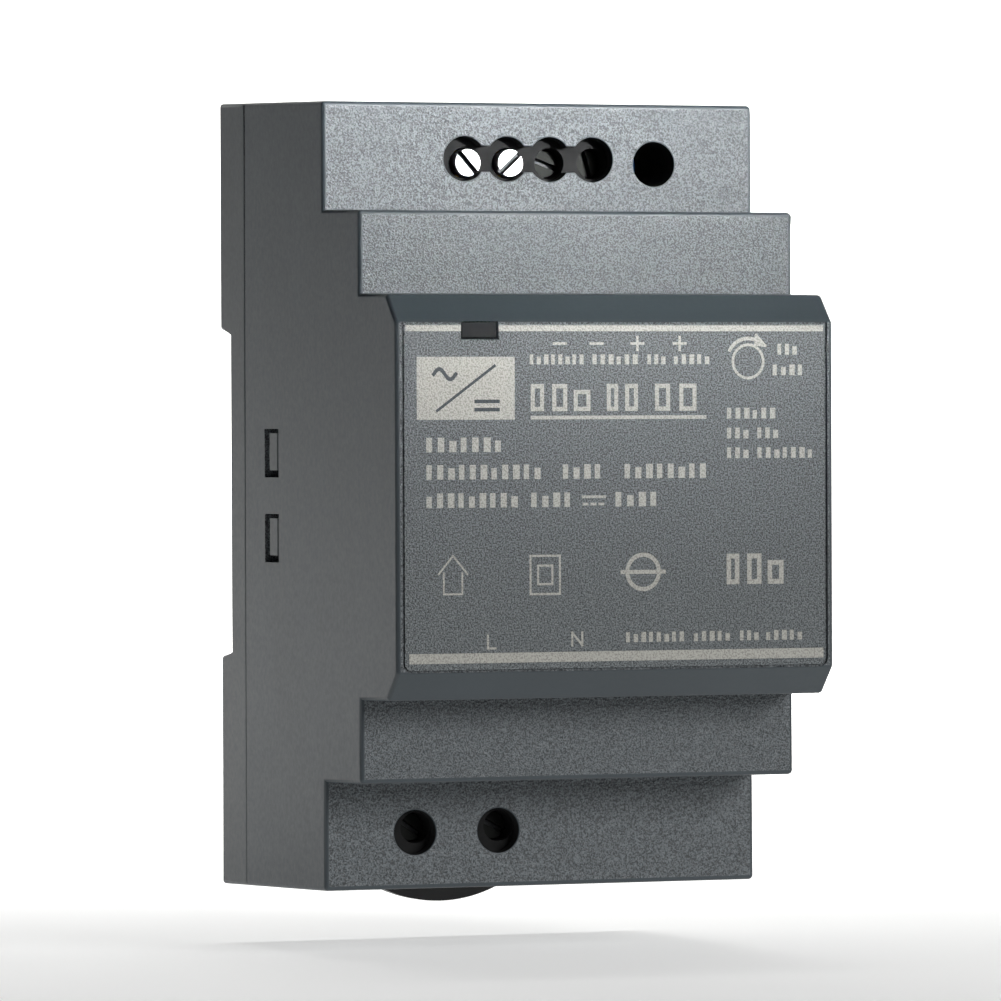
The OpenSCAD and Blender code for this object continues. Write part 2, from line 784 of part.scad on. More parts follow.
// a disc part that stands on edge on two leads; its axis is along Z
module disc_part(x, z, d, t, rise) {
    translate([x, -board_front - rise - d / 2, z]) cylinder(d = d, h = t, center = true);
    for (side = [-1, 1]) bar(x + side * d / 4, z, lead_r, board_front, board_front + rise + d / 3);
}

// a package with a metal tab and three leads, standing with its tab towards +x or -x
module tab_part(z, side) scale([side, 1, 1]) {
    base = board_front + pack_rise;
    box(pack_x, z, pack_t, pack_w, base, base + pack_h);
    box(pack_x + (pack_t - pack_tab_t) / 2, z, pack_tab_t, pack_w,
        base + pack_h, base + pack_h + pack_tab_h);
    for (i = [-1:1]) bar(pack_x, z + i * lead_pitch, lead_r, board_front, base + lead_in);
}

// a heat sink along a side wall, with the hole of its package's screw
module sink(z, side, w, h, hole_z) scale([side, 1, 1]) difference() {
    box(sink_x - sink_t / 2, z, sink_t, w, board_front, board_front + h);
    translate([sink_x, -board_front - sink_hole_up, hole_z]) rotate([0, 90, 0])
        cylinder(r = sink_hole_r, h = 2 * sink_t + past, center = true);
}

// a capacitor's can, with its crimped groove and its rim
module can(x, z, r, l) rising(x, board_front + can_rise, z) rotate_extrude() polygon([
    [0, 0], [r - can_edge, 0], [r, can_edge], [r, can_groove_up],
    [r - can_groove, can_groove_up + can_groove],
    [r, can_groove_up + 2 * can_groove], [r, l - can_edge], [r - can_edge, l], [r - can_rim, l],
    [r - can_rim, l - can_recess], [0, l - can_recess]
]);

module fuse() color("#23262a") case() {
    bar(fuse_x, fuse_z, fuse_r, board_front + fuse_rise, board_front + fuse_rise + fuse_h);
    for (side = [-1, 1])
        bar(fuse_x + side * lead_pitch, fuse_z, lead_r, board_front, board_front + fuse_rise + lead_in);
}
module varistor() color("#2b59a8") case()
    disc_part(varistor_x, varistor_z, varistor_d, varistor_t, disc_rise);
module inrush_thermistor() color("#26302b") case()
    disc_part(varistor_x, thermistor_z, thermistor_d, thermistor_t, disc_rise);
module x_capacitor() color("#d8c23a") case() difference() {
    box(x_cap_x, x_cap_z, x_cap_w, x_cap_t, board_front, board_front + x_cap_h);
    box(x_cap_x, x_cap_z, x_cap_w - 2 * x_cap_foot, x_cap_t + past,
        board_front - past, board_front + x_cap_rise);
}

module at_choke() case() translate([choke_x, -board_front - choke_rise, choke_z]) children();
module choke_core() color("#2f3a33") at_choke()
    rotate_extrude() translate([ring_r0, -ring_t / 2]) square([ring_r1 - ring_r0, ring_t]);
module choke_windings() color("#b0592b") at_choke() {
    // two windings, each a row of turns round one half of the core
    inner_x = ring_r1 - ring_r0 + 2 * face_gap;
    inner_z = ring_t + 2 * face_gap;
    for (side = [0, 180], i = [-turns_half:turns_half]) rotate([0, 0, side + i * turn_step])
        translate([(ring_r0 + ring_r1) / 2, 0, 0]) difference() {
            cube([inner_x + 2 * turn_t, turn_w, inner_z + 2 * turn_t], center = true);
            cube([inner_x, turn_w + past, inner_z], center = true);
        }
    for (x = [-choke_lead_x, choke_lead_x])
        translate([x, choke_rise, 0]) rotate([90, 0, 0])
            cylinder(r = lead_r, h = choke_rise - choke_lead_up);
}

module bridge_rectifier() color("#1b1c1e") case() {
    base = board_front + bridge_rise;
    difference() {
        box(bridge_x, bridge_z, bridge_w, bridge_t, base, base + bridge_h);
        // one cut corner marks the positive lead
        translate([bridge_x + bridge_w / 2, -base - bridge_h, bridge_z]) rotate([0, 0, 45])
            cube([bridge_cut, bridge_cut, bridge_t + past], center = true);
    }
    for (i = [0:bridge_leads - 1])
        bar(bridge_x + (i - (bridge_leads - 1) / 2) * bridge_pitch, bridge_z, lead_r,
            board_front, base + lead_in);
}

module bulk_capacitor() color("#1f2b46") case() can(bulk_x, bulk_z, bulk_d / 2, bulk_l);

module power_transistor() color("#202124") case() tab_part(transistor_z, 1);
module primary_heat_sink() color("#b9bdc2") case()
    sink(primary_sink_z, 1, primary_sink_w, primary_sink_h, transistor_z);
module output_diode() color("#202124") case() tab_part(diode_z, -1);
module output_heat_sink() color("#b9bdc2") case()
    sink(output_sink_z, -1, output_sink_w, output_sink_h, diode_z);

module controller_chip() color("#1b1c1e") case() {
    box(chip_x, chip_z, chip_w, chip_l, board_front + chip_rise, board_front + chip_rise + chip_t);
    for (side = [-1, 1], i = [0:chip_pins - 1])
        box(chip_x + (i - (chip_pins - 1) / 2) * chip_pitch, chip_z + side * chip_l / 2,
            chip_pin_w, 2 * chip_pin_l, board_front, board_front + chip_pin_t);
}
module optocoupler() color("#1b1c1e") case() {
    box(opto_x, opto_z, opto_w, opto_l, board_front + opto_rise, board_front + opto_rise + opto_t);
    for (side = [-1, 1], i = [-1, 1])
        box(opto_x + i * chip_pitch, opto_z + side * (opto_l + opto_pin_w) / 2, opto_pin_w, 2 * opto_pin_w,
            board_front, board_front + opto_pin_t);
}
module y_capacitor() color("#3f78b5") case() disc_part(core_x, y_cap_z, y_cap_d, y_cap_t, y_cap_rise);

module transformer_core() color("#35383b") case() {
    for (x = [-1, 1]) box(core_x + x * (core_w - leg_t) / 2, core_z, leg_t, core_l, core_rear, core_front);
    for (dep = [core_rear, core_front - yoke_t]) box(core_x, core_z, core_w, core_l, dep, dep + yoke_t);
    bar(core_x, core_z, bobbin_r - bobbin_wall, core_rear + yoke_t, core_front - yoke_t);
}
module transformer_bobbin() color("#22262b") case() difference() {
    union() {
        bar(core_x, core_z, bobbin_r, bobbin_rear, bobbin_front);
        for (dep = [bobbin_rear, bobbin_front - bobbin_flange])
            box(core_x, core_z, bobbin_w, bobbin_l, dep, dep + bobbin_flange);
        // pin rails that stand on the board at both ends
        for (side = [-1, 1]) {
            rail_z = core_z + side * (bobbin_l - pin_rail_w) / 2;
            box(core_x, rail_z, bobbin_w, pin_rail_w,
                board_front + pin_rail_rise, bobbin_rear + bobbin_flange);
            for (i = [-pins_half:pins_half])
                bar(core_x + i * pin_pitch, rail_z, lead_r,
                    board_front, board_front + pin_rail_rise + pin_in);
        }
    }
    bar(core_x, core_z, bobbin_r - bobbin_wall + face_gap, bobbin_rear - past, bobbin_front + past);
}
module transformer_windings() color("#d9b23c") case() difference() {
    rear = bobbin_rear + bobbin_flange + face_gap;
    front = bobbin_front - bobbin_flange - face_gap;
    bar(core_x, core_z, core_w / 2 - leg_t - winding_gap, rear, front);
    bar(core_x, core_z, bobbin_r + face_gap, rear - past, front + past);
}

module output_capacitors() color("#1d2a3c") case()
    for (x = output_cap_x) can(x, output_cap_z, output_cap_d / 2, output_cap_l);
module output_choke() color("#7a4a2b") case()
    rising(output_choke_x, board_front + can_rise, output_choke_z) rotate_extrude() polygon([
        [0, 0], [output_choke_r, 0], [output_choke_r, output_choke_flange],
        [output_choke_r - output_choke_waist, output_choke_flange + output_choke_waist],
        [output_choke_r - output_choke_waist, output_choke_h - output_choke_flange - output_choke_waist],
        [output_choke_r, output_choke_h - output_choke_flange], [output_choke_r, output_choke_h],
        [0, output_choke_h]
    ]);

module adjuster_body() color("#2456a6") case() difference() {
    box(adjuster_x, adjuster_z, adjuster_w, adjuster_w, board_front + adjuster_rise, rotor_top - rotor_up);
    bar(adjuster_x, adjuster_z, rotor_d / 2 + thread_gap, board_front + adjuster_h, rotor_top + past);
}
module adjuster_rotor() color("ivory") case() difference() {
    bar(adjuster_x, adjuster_z, rotor_d / 2, board_front + adjuster_h + face_gap, rotor_top);
    for (a = [0, 90]) translate([adjuster_x, -rotor_top, adjuster_z]) rotate([0, a, 0])
        cube([rotor_d - 2 * rotor_rim, 2 * rotor_slot_t, rotor_slot_w], center = true);
}
module indicator_lamp() color("#e8ece6") case()
    box(lamp_x, lamp_z - stem_drop, die_w, die_h, board_front, lamp_top_d);

housing();
rear_base();
front_label();
light_pipe();
rail_clip();
clip_spring();
output_terminal_block();
output_frames();
output_plate(0);  // output_plate_1
output_plate(1);  // output_plate_2
output_plate(2);  // output_plate_3
output_plate(3);  // output_plate_4
output_screw(0);  // output_screw_1
output_screw(1);  // output_screw_2
output_screw(2);  // output_screw_3
output_screw(3);  // output_screw_4
input_terminal_block();
input_frames();
input_plate(0);  // input_plate_l
input_plate(1);  // input_plate_n
input_screw(0);  // input_screw_l
input_screw(1);  // input_screw_n
main_board();
fuse();
varistor();
inrush_thermistor();
x_capacitor();
choke_core();
choke_windings();
bridge_rectifier();
bulk_capacitor();
power_transistor();
primary_heat_sink();
controller_chip();
optocoupler();
y_capacitor();
transformer_core();
transformer_bobbin();
transformer_windings();
output_diode();
output_heat_sink();
output_capacitors();
output_choke();
adjuster_body();
adjuster_rotor();
indicator_lamp();
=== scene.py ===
"""Looks of the three-module rail power supply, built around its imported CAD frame.

Every piece is modelled or finished in the frame's own metres, rides on a CAD body, and takes its
place from the CAD nodes' boxes. Run as a script it registers the operators and runs them in order.
"""

import contextlib
import json
import math

import bmesh
import bpy
from bpy.props import FloatProperty, FloatVectorProperty, IntProperty, PointerProperty
from mathutils import Matrix, Vector

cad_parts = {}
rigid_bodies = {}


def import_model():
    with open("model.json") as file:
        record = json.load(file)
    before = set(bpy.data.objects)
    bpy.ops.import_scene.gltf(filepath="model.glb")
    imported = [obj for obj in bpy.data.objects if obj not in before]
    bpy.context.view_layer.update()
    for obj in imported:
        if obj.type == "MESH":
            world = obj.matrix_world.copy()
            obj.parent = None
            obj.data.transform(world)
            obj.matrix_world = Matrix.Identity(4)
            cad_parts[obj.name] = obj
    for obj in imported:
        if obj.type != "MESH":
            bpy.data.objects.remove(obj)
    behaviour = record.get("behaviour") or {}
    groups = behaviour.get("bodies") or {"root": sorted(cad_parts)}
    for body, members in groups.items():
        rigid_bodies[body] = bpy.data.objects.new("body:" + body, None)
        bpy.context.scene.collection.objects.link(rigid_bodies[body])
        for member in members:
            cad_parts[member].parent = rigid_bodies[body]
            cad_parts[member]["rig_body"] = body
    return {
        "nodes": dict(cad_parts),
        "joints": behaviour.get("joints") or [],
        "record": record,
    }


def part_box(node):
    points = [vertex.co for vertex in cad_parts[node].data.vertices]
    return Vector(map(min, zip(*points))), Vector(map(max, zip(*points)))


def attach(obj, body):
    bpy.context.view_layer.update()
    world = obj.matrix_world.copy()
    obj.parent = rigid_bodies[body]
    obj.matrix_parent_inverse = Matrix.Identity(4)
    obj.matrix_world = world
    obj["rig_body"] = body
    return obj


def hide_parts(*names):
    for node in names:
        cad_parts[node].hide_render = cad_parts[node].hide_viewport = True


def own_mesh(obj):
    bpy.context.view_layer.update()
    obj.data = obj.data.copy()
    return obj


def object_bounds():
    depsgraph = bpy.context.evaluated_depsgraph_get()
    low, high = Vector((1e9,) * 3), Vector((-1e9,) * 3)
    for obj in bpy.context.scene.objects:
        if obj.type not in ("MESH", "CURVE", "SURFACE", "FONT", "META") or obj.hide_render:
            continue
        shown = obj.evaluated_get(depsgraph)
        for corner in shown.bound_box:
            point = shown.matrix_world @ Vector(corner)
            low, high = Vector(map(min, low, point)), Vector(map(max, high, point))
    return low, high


bl_info = {
    "name": "Rail power supply looks",
    "version": (1, 0, 0),
    "blender": (4, 5, 0),
    "location": "View3D > Sidebar > Power supply",
    "description": "Builds the visible pieces, finishes and stage of a rail-mounted power supply",
    "category": "Object",
}

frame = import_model()
MM = 0.001

# places that everything else is measured from
CAD_LOW, CAD_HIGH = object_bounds()
CASE_LOW, CASE_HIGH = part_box("housing")
LABEL_LOW, LABEL_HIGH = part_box("front_label")
PANEL = (LABEL_LOW + LABEL_HIGH) / 2  # the middle of the front label
HALF_WIDTH = CASE_HIGH.x
CASE_Z = PANEL.z  # the case's middle height
CLIP_TRAVEL = next(j for j in frame["joints"] if j["name"] == "rail_clip_pull")["range_m"][1]
NEAR = 0.01 * MM  # two places closer than this are the same


# ---------- sizes and colours ----------


def linear(hex_colour):
    """An sRGB hex colour as the linear RGB that a shader takes."""
    channels = [int(hex_colour[i : i + 2], 16) / 255 for i in (1, 3, 5)]
    return [c / 12.92 if c <= 0.04045 else ((c + 0.055) / 1.055) ** 2.4 for c in channels]


def length(name, description, millimetres):
    return FloatProperty(
        name=name, description=description, default=millimetres * MM, min=0, precision=5, unit="LENGTH"
    )


def colour(name, description, hex_colour):
    return FloatVectorProperty(
        name=name, description=description, default=linear(hex_colour), min=0, max=1, size=3, subtype="COLOR"
    )


def power(name, description, watts):
    return FloatProperty(name=name, description=description, default=watts, min=0, unit="POWER")


class EdgeSizes(bpy.types.PropertyGroup):
    """Roundings and margins of the moulded pieces."""

    side_round: length("Side edges", "Radius where the sides meet the fronts", 0.45)
    rim_round: length("Rims", "Radius on the rims of holes, windows and the label's recess", 0.15)
    seam_round: length("Seam", "Radius on both sides of the seam between housing and base", 0.26)
    clip_round: length("Clip edges", "Radius on the rail clip's edges", 0.25)
    metal_round: length("Metal edges", "Radius on stamped and turned metal edges", 0.08)


class PrintSizes(bpy.types.PropertyGroup):
    """Sizes of what is printed on the front label."""

    ink: length("Ink", "Thickness of the printed ink", 0.02)
    stroke: length("Stroke", "Width of a drawn line", 0.3)


class SpringSizes(bpy.types.PropertyGroup):
    """Sizes of the clip's spring."""

    wire: length("Spring wire", "Diameter of the clip spring's wire", 0.45)
    turns: IntProperty(name="Spring turns", description="Turns of the clip's spring", default=8, min=3)


class PlasticColours(bpy.types.PropertyGroup):
    """Colours of the mouldings and the print."""

    smooth: colour("Smooth", "Polished sides of the case", "#394146")
    grained: colour("Grained", "Grained fronts of the case", "#4c5154")
    label: colour("Label", "Front label", "#515658")
    base: colour("Base", "Rear base", "#444a4d")
    ink: colour("Ink", "Print on the label", "#b0afa8")
    clip: colour("Clip", "Rail clip", "#0e0f10")
    block: colour("Blocks", "Terminal blocks", "#0b0c0d")


class StageSizes(bpy.types.PropertyGroup):
    """Camera and lights."""

    lens: FloatProperty(name="Lens", description="Focal length", default=287.57, unit="CAMERA")
    key: power("Key light", "Power of the light on the fronts", 5)
    crown: power("Crown light", "Power of the narrow light on the upper tiers", 0.13)
    side: power("Side light", "Power of the light on the left side", 0.28)
    backdrop: power("Backdrop light", "Power of the light on the backdrop", 45)


# ---------- modelling helpers ----------


def deselect():
    bpy.ops.object.select_all(action="DESELECT")


def activate(piece):
    deselect()
    piece.select_set(True)
    bpy.context.view_layer.objects.active = piece


@contextlib.contextmanager
def editing(piece):
    """Edit mode on one piece, with faces and edges selectable and nothing selected."""
    activate(piece)
    bpy.ops.object.mode_set(mode="EDIT")
    bpy.ops.mesh.select_mode(type="EDGE")
    bpy.ops.mesh.select_all(action="DESELECT")
    try:
        yield
    finally:
        bpy.ops.object.mode_set(mode="OBJECT")


def choose(piece, test, faces=False):
    """In edit mode, selects the edges or faces that pass a test; there has to be one."""
    bpy.ops.mesh.select_mode(type="FACE" if faces else "EDGE")
    bpy.ops.mesh.select_all(action="DESELECT")
    mesh = bmesh.from_edit_mesh(piece.data)
    mesh.normal_update()
    chosen = [part for part in (mesh.faces if faces else mesh.edges) if test(part)]
    if not chosen:
        raise RuntimeError(f"nothing to select on {piece.name}")
    for part in chosen:
        part.select_set(True)
    bmesh.update_edit_mesh(piece.data)


def new_piece(name):
    """An empty mesh object at the origin, to be filled in edit mode."""
    piece = bpy.data.objects.new(name, bpy.data.meshes.new(name))
    bpy.context.scene.collection.objects.link(piece)
    return piece


def settle(piece):
    """Puts the piece's place into its mesh."""
    activate(piece)
    bpy.ops.object.transform_apply(location=True, rotation=True, scale=True)


def apply_modifiers(piece):
    activate(piece)
    for name in [m.name for m in piece.modifiers]:
        bpy.ops.object.modifier_apply(modifier=name)


def merged_copy(node, name):
    """A copy of a CAD node with its loose triangles merged into flat faces."""
    piece = new_piece(name)
    piece.data = frame["nodes"][node].data.copy()
    piece.data.name = name
    piece.data.materials.clear()
    with editing(piece):
        bpy.ops.mesh.customdata_custom_splitnormals_clear()
        bpy.ops.mesh.select_all(action="SELECT")
        bpy.ops.mesh.remove_doubles(threshold=NEAR / 5)
        bpy.ops.mesh.dissolve_limited(angle_limit=math.radians(0.3))
    return piece


def smooth(piece, degrees=35):
    activate(piece)
    bpy.ops.object.shade_smooth_by_angle(angle=math.radians(degrees))


def smooth_moulding(piece):
    """Smooth shading on the roundings, which leaves the flat faces beside them flat."""
    with editing(piece):
        choose(piece, lambda f: max(abs(c) for c in f.normal) > 0.999, faces=True)
        bpy.ops.mesh.mod_weighted_strength(set=True, face_strength="STRONG")
    smooth(piece)
    weighted = piece.modifiers.new("Weighted normals", "WEIGHTED_NORMAL")
    weighted.keep_sharp = True
    weighted.use_face_influence = True
    weighted.weight = 100
    apply_modifiers(piece)


def round_edges(piece, width, test, segments=3):
    with editing(piece):
        choose(piece, test)
        bpy.ops.mesh.bevel(offset=width, segments=segments, profile=0.5, affect="EDGES", clamp_overlap=False)


def sharp(edge, degrees=30):
    return len(edge.link_faces) == 2 and edge.calc_face_angle(0) > math.radians(degrees)


def eased_copy(node, name, width, segments=2):
    """A merged copy with all its sharp edges rounded."""
    piece = merged_copy(node, name)
    bevel = piece.modifiers.new("Eased edges", "BEVEL")
    bevel.width = width
    bevel.segments = segments
    bevel.limit_method = "ANGLE"
    bevel.angle_limit = math.radians(30)
    bevel.use_clamp_overlap = True
    apply_modifiers(piece)
    smooth_moulding(piece)
    return piece


def body_of(node):
    return frame["nodes"][node]["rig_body"]


def stands_for(piece, node, material):
    """Finishes a piece that takes a CAD node's place on its body."""
    if material is not None:
        piece.data.materials.clear()
        piece.data.materials.append(material)
    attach(piece, body_of(node))
    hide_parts(node)
    return piece


SLOT_OF = {part["node"]: part["material_slot"] for part in frame["record"]["subparts"]}


def middle(edge):
    return (edge.verts[0].co + edge.verts[1].co) / 2


# ---------- material helpers ----------


def opaque(rgb):
    return (*rgb, 1)


def shade(rgb, factor):
    return [min(1, c * factor) for c in rgb]


def add(tree, kind, settings=None, **inputs):
    """Adds a node, sets its own settings, and feeds its inputs from values or other nodes' outputs.

    An input is given by its name, with _ for a space, or by its number, as in _6.
    """
    made = tree.nodes.new(kind)
    for name, value in (settings or {}).items():
        setattr(made, name, value)
    for name, value in inputs.items():
        socket = made.inputs[int(name[1:]) if name[0] == "_" else name.replace("_", " ")]
        if isinstance(value, bpy.types.NodeSocket):
            tree.links.new(value, socket)
        else:
            socket.default_value = value
    return made


def start(name, **shader):
    """A material with its surface shader, and the piece's own coordinates in millimetres."""
    material = bpy.data.materials.new(name)
    material.use_nodes = True
    tree = material.node_tree
    tree.nodes.clear()
    surface = add(tree, "ShaderNodeBsdfPrincipled", **shader)
    add(tree, "ShaderNodeOutputMaterial", Surface=surface.outputs[0])
    own = add(tree, "ShaderNodeTexCoord").outputs["Object"]
    place = add(tree, "ShaderNodeMapping", Vector=own, Scale=(1 / MM,) * 3).outputs[0]
    return material, tree, surface, place


def noise(tree, place, size_mm, detail=2.0, stretch=(1, 1, 1)):
    """A noise whose features are about size_mm across."""
    drawn = add(tree, "ShaderNodeMapping", Vector=place, Scale=stretch).outputs[0]
    return add(tree, "ShaderNodeTexNoise", Vector=drawn, Scale=1 / size_mm, Detail=detail).outputs[0]


def ramp(tree, value, low, high, to_low, to_high):
    """A value moved from one range to another, and held inside it."""
    moved = add(
        tree, "ShaderNodeMapRange", Value=value, From_Min=low, From_Max=high, To_Min=to_low, To_Max=to_high
    )
    return moved.outputs[0]


def blend(tree, share, low, high):
    """A colour between two, by a share from 0 to 1."""
    mixed = add(tree, "ShaderNodeMix", {"data_type": "RGBA"}, _0=share, _6=opaque(low), _7=opaque(high))
    return mixed.outputs[2]


def relief(tree, surface, height, depth_mm):
    """Relief of a real depth in millimetres."""
    made = add(tree, "ShaderNodeBump", Height=height, Distance=depth_mm * MM)
    tree.links.new(made.outputs[0], surface.inputs["Normal"])


def feed(tree, surface, **inputs):
    for name, output in inputs.items():
        tree.links.new(output, surface.inputs[name.replace("_", " ")])


# ---------- materials ----------

WAVE_BAND = 0.314  # how far apart a wave texture draws its bands at a scale of 1
# a spark-eroded grain is finer than this; it is drawn coarse enough to show
PIT_MM, WORM_MM = 0.3, 0.17
NYLON_ROUGHNESS = 0.85  # black nylon with an eroded face
DIMMED_ROOM, PALE_ROOM = 0.08, 1.1  # the room's strength as a light, and as seen


def polished_plastic(name, rgb, roughness=0.44):
    """Injection-moulded PC/ABS from a polished mould: satin, even, with faint flow clouds."""
    material, tree, surface, place = start(name, IOR=1.5)
    clouds = noise(tree, place, 14, 2, (1, 1, 0.4))
    haze = noise(tree, place, 0.5, 3)
    feed(
        tree, surface,
        Base_Color=blend(tree, ramp(tree, clouds, 0.3, 0.7, 0, 1), shade(rgb, 0.94), shade(rgb, 1.05)),
        Roughness=ramp(tree, haze, 0.3, 0.7, roughness - 0.04, roughness + 0.05),
    )
    relief(tree, surface, haze, 0.004)
    return material


def grained_plastic(name, rgb, painted_glint):
    """The same plastic from a spark-eroded mould: fine pits, with the grain's high points painted lighter as
    painted glints.
    """
    material, tree, surface, place = start(name, IOR=1.5)
    pits = add(
        tree, "ShaderNodeTexVoronoi", {"feature": "SMOOTH_F1"}, Vector=place, Scale=1 / PIT_MM, Smoothness=0.3
    ).outputs["Distance"]
    worms = noise(tree, place, WORM_MM, 1)
    grain = add(tree, "ShaderNodeMath", {"operation": "ADD"}, _0=pits, _1=worms).outputs[0]
    # where the grain's noise is high the colour is painted lighter as painted glints, and elsewhere darker
    glint_mask = ramp(tree, worms, 0.38, 0.62, 0, 1)
    feed(
        tree, surface,
        Base_Color=blend(tree, glint_mask, shade(rgb, 1 - painted_glint / 2), shade(rgb, 1 + painted_glint)),
        Roughness=ramp(tree, pits, 0.1, 0.7, 0.5, 0.32),
    )
    relief(tree, surface, grain, 0.1)
    return material


def printed_ink(name, rgb):
    """Pad-printed ink: matt cream, darker in a fine mottle at the grain's scale, with a relief that follows
    the grain under it.
    """
    material, tree, surface, place = start(name, IOR=1.48)
    worms = noise(tree, place, 0.2, 1)
    feed(
        tree, surface,
        Base_Color=blend(tree, ramp(tree, worms, 0.36, 0.56, 0, 1), shade(rgb, 0.62), rgb),
        Roughness=ramp(tree, worms, 0.3, 0.7, 0.6, 0.45),
    )
    relief(tree, surface, worms, 0.1)
    return material


def tinted_acrylic(name, rgb):
    """Smoked acrylic of a light guide: nearly black, frosted on its end."""
    material, tree, surface, place = start(name, IOR=1.49, Transmission_Weight=0.1)
    swirl = noise(tree, place, 1.8, 2)
    feed(
        tree, surface,
        Base_Color=blend(tree, swirl, shade(rgb, 0.7), shade(rgb, 1.4)),
        Roughness=ramp(tree, swirl, 0.3, 0.7, 0.75, 0.9),
    )
    return material


def waxy_plastic(name, rgb, roughness=0.32):
    """Acetal or nylon: slippery, slightly waxy gloss, with fine moulding ripple."""
    material, tree, surface, place = start(name, IOR=1.48)
    ripple = noise(tree, place, 1.6, 3)
    feed(
        tree, surface,
        Base_Color=blend(tree, ripple, shade(rgb, 0.8), shade(rgb, 1.3)),
        Roughness=ramp(tree, ripple, 0.3, 0.7, roughness - 0.06, roughness + 0.08),
    )
    relief(tree, surface, ripple, 0.012)
    return material


def worked_metal(name, rgb, roughness, line_mm=0.12, run=(1, 1, 0.06), depth=0.006):
    """Plated or bare metal that keeps the lines of its drawing, stamping or turning."""
    material, tree, surface, place = start(name, Metallic=1.0)
    lines = noise(tree, place, line_mm, 3, run)
    stains = noise(tree, place, 2.5, 2)
    feed(
        tree, surface,
        Base_Color=blend(tree, ramp(tree, stains, 0.3, 0.7, 0, 1), shade(rgb, 0.86), rgb),
        Roughness=ramp(tree, lines, 0.3, 0.7, roughness - 0.05, roughness + 0.12),
    )
    relief(tree, surface, lines, depth)
    return material


def dipped_epoxy(name, rgb):
    """Epoxy dip on a disc component: a thick glossy coat with an orange-peel surface."""
    material, tree, surface, place = start(name, IOR=1.55, Coat_Weight=0.5, Coat_Roughness=0.15)
    peel = noise(tree, place, 1.3, 2)
    feed(
        tree, surface,
        Base_Color=blend(tree, peel, shade(rgb, 0.82), shade(rgb, 1.15)),
        Roughness=ramp(tree, peel, 0.3, 0.7, 0.28, 0.4),
    )
    relief(tree, surface, peel, 0.06)
    return material


def sintered_ferrite(name, rgb):
    """Sintered ferrite: matt charcoal with pale specks and ground faces."""
    material, tree, surface, place = start(name, IOR=2.2)
    specks = noise(tree, place, 0.25, 4)
    feed(
        tree, surface,
        Base_Color=blend(tree, ramp(tree, specks, 0.45, 0.7, 0, 1), shade(rgb, 0.8), shade(rgb, 1.7)),
        Roughness=ramp(tree, specks, 0.3, 0.7, 0.75, 0.55),
    )
    relief(tree, surface, specks, 0.015)
    return material


def shrunk_sleeve(name, rgb):
    """PVC sleeve shrunk on a capacitor: glossy, with fine drawn lines up its length."""
    material, tree, surface, place = start(name, IOR=1.53, Coat_Weight=0.3, Coat_Roughness=0.1)
    lines = noise(tree, place, 0.5, 2, (1, 0.05, 1))
    feed(
        tree, surface,
        Base_Color=blend(tree, lines, shade(rgb, 0.85), shade(rgb, 1.2)),
        Roughness=ramp(tree, lines, 0.3, 0.7, 0.2, 0.34),
    )
    relief(tree, surface, lines, 0.01)
    return material


def wound_tape(name, rgb, turn_mm=0.9):
    """Polyester tape over windings: glossy laps with the wires showing through as ridges."""
    material, tree, surface, place = start(name, IOR=1.6, Coat_Weight=0.4, Coat_Roughness=0.08)
    laps = add(
        tree, "ShaderNodeTexWave", {"bands_direction": "Y"}, Vector=place,
        Scale=WAVE_BAND / turn_mm, Distortion=0.6,
    ).outputs["Fac"]
    feed(
        tree, surface,
        Base_Color=blend(tree, laps, shade(rgb, 0.62), shade(rgb, 1.1)),
        Roughness=ramp(tree, laps, 0, 1, 0.22, 0.4),
    )
    relief(tree, surface, laps, 0.06)
    return material


def enamelled_copper(name, rgb):
    """Enamelled copper wire: metal under a clear brown coat, wound about 0.7 mm apart."""
    material, tree, surface, place = start(name, Metallic=1.0, Coat_Weight=0.5, Coat_Roughness=0.12)
    streaks = noise(tree, place, 0.3, 2, (1, 0.2, 1))
    feed(
        tree, surface,
        Base_Color=blend(tree, streaks, shade(rgb, 0.75), shade(rgb, 1.15)),
        Roughness=ramp(tree, streaks, 0.3, 0.7, 0.24, 0.36),
    )
    return material


def masked_board(name, rgb, weave_mm=0.5):
    """Glass-epoxy board: green mask over a 0.5 mm glass weave, lighter where copper runs under it."""
    material, tree, surface, place = start(name, IOR=1.52)
    runs = add(
        tree, "ShaderNodeTexVoronoi", {"distance": "MANHATTAN", "feature": "F1"}, Vector=place, Scale=1 / 6.0
    ).outputs["Distance"]
    copper = ramp(tree, runs, 0.42, 0.46, 1, 0)
    warp, weft = (
        add(
            tree, "ShaderNodeTexWave", {"bands_direction": axis}, Vector=place, Scale=WAVE_BAND / weave_mm
        ).outputs["Fac"]
        for axis in ("X", "Z")
    )
    weave = add(tree, "ShaderNodeMath", {"operation": "MULTIPLY"}, _0=warp, _1=weft).outputs[0]
    feed(
        tree, surface,
        Base_Color=blend(tree, copper, shade(rgb, 0.7), shade(rgb, 1.25)),
        Roughness=ramp(tree, weave, 0, 1, 0.24, 0.36),
    )
    relief(tree, surface, weave, 0.015)
    return material


def clear_epoxy(name, rgb):
    """Cast epoxy of a lamp: milky and glossy."""
    material, tree, surface, place = start(name, IOR=1.55, Transmission_Weight=0.3)
    cloud = noise(tree, place, 1.0, 2)
    feed(
        tree, surface,
        Base_Color=blend(tree, cloud, shade(rgb, 0.8), rgb),
        Roughness=ramp(tree, cloud, 0.3, 0.7, 0.15, 0.28),
    )
    return material


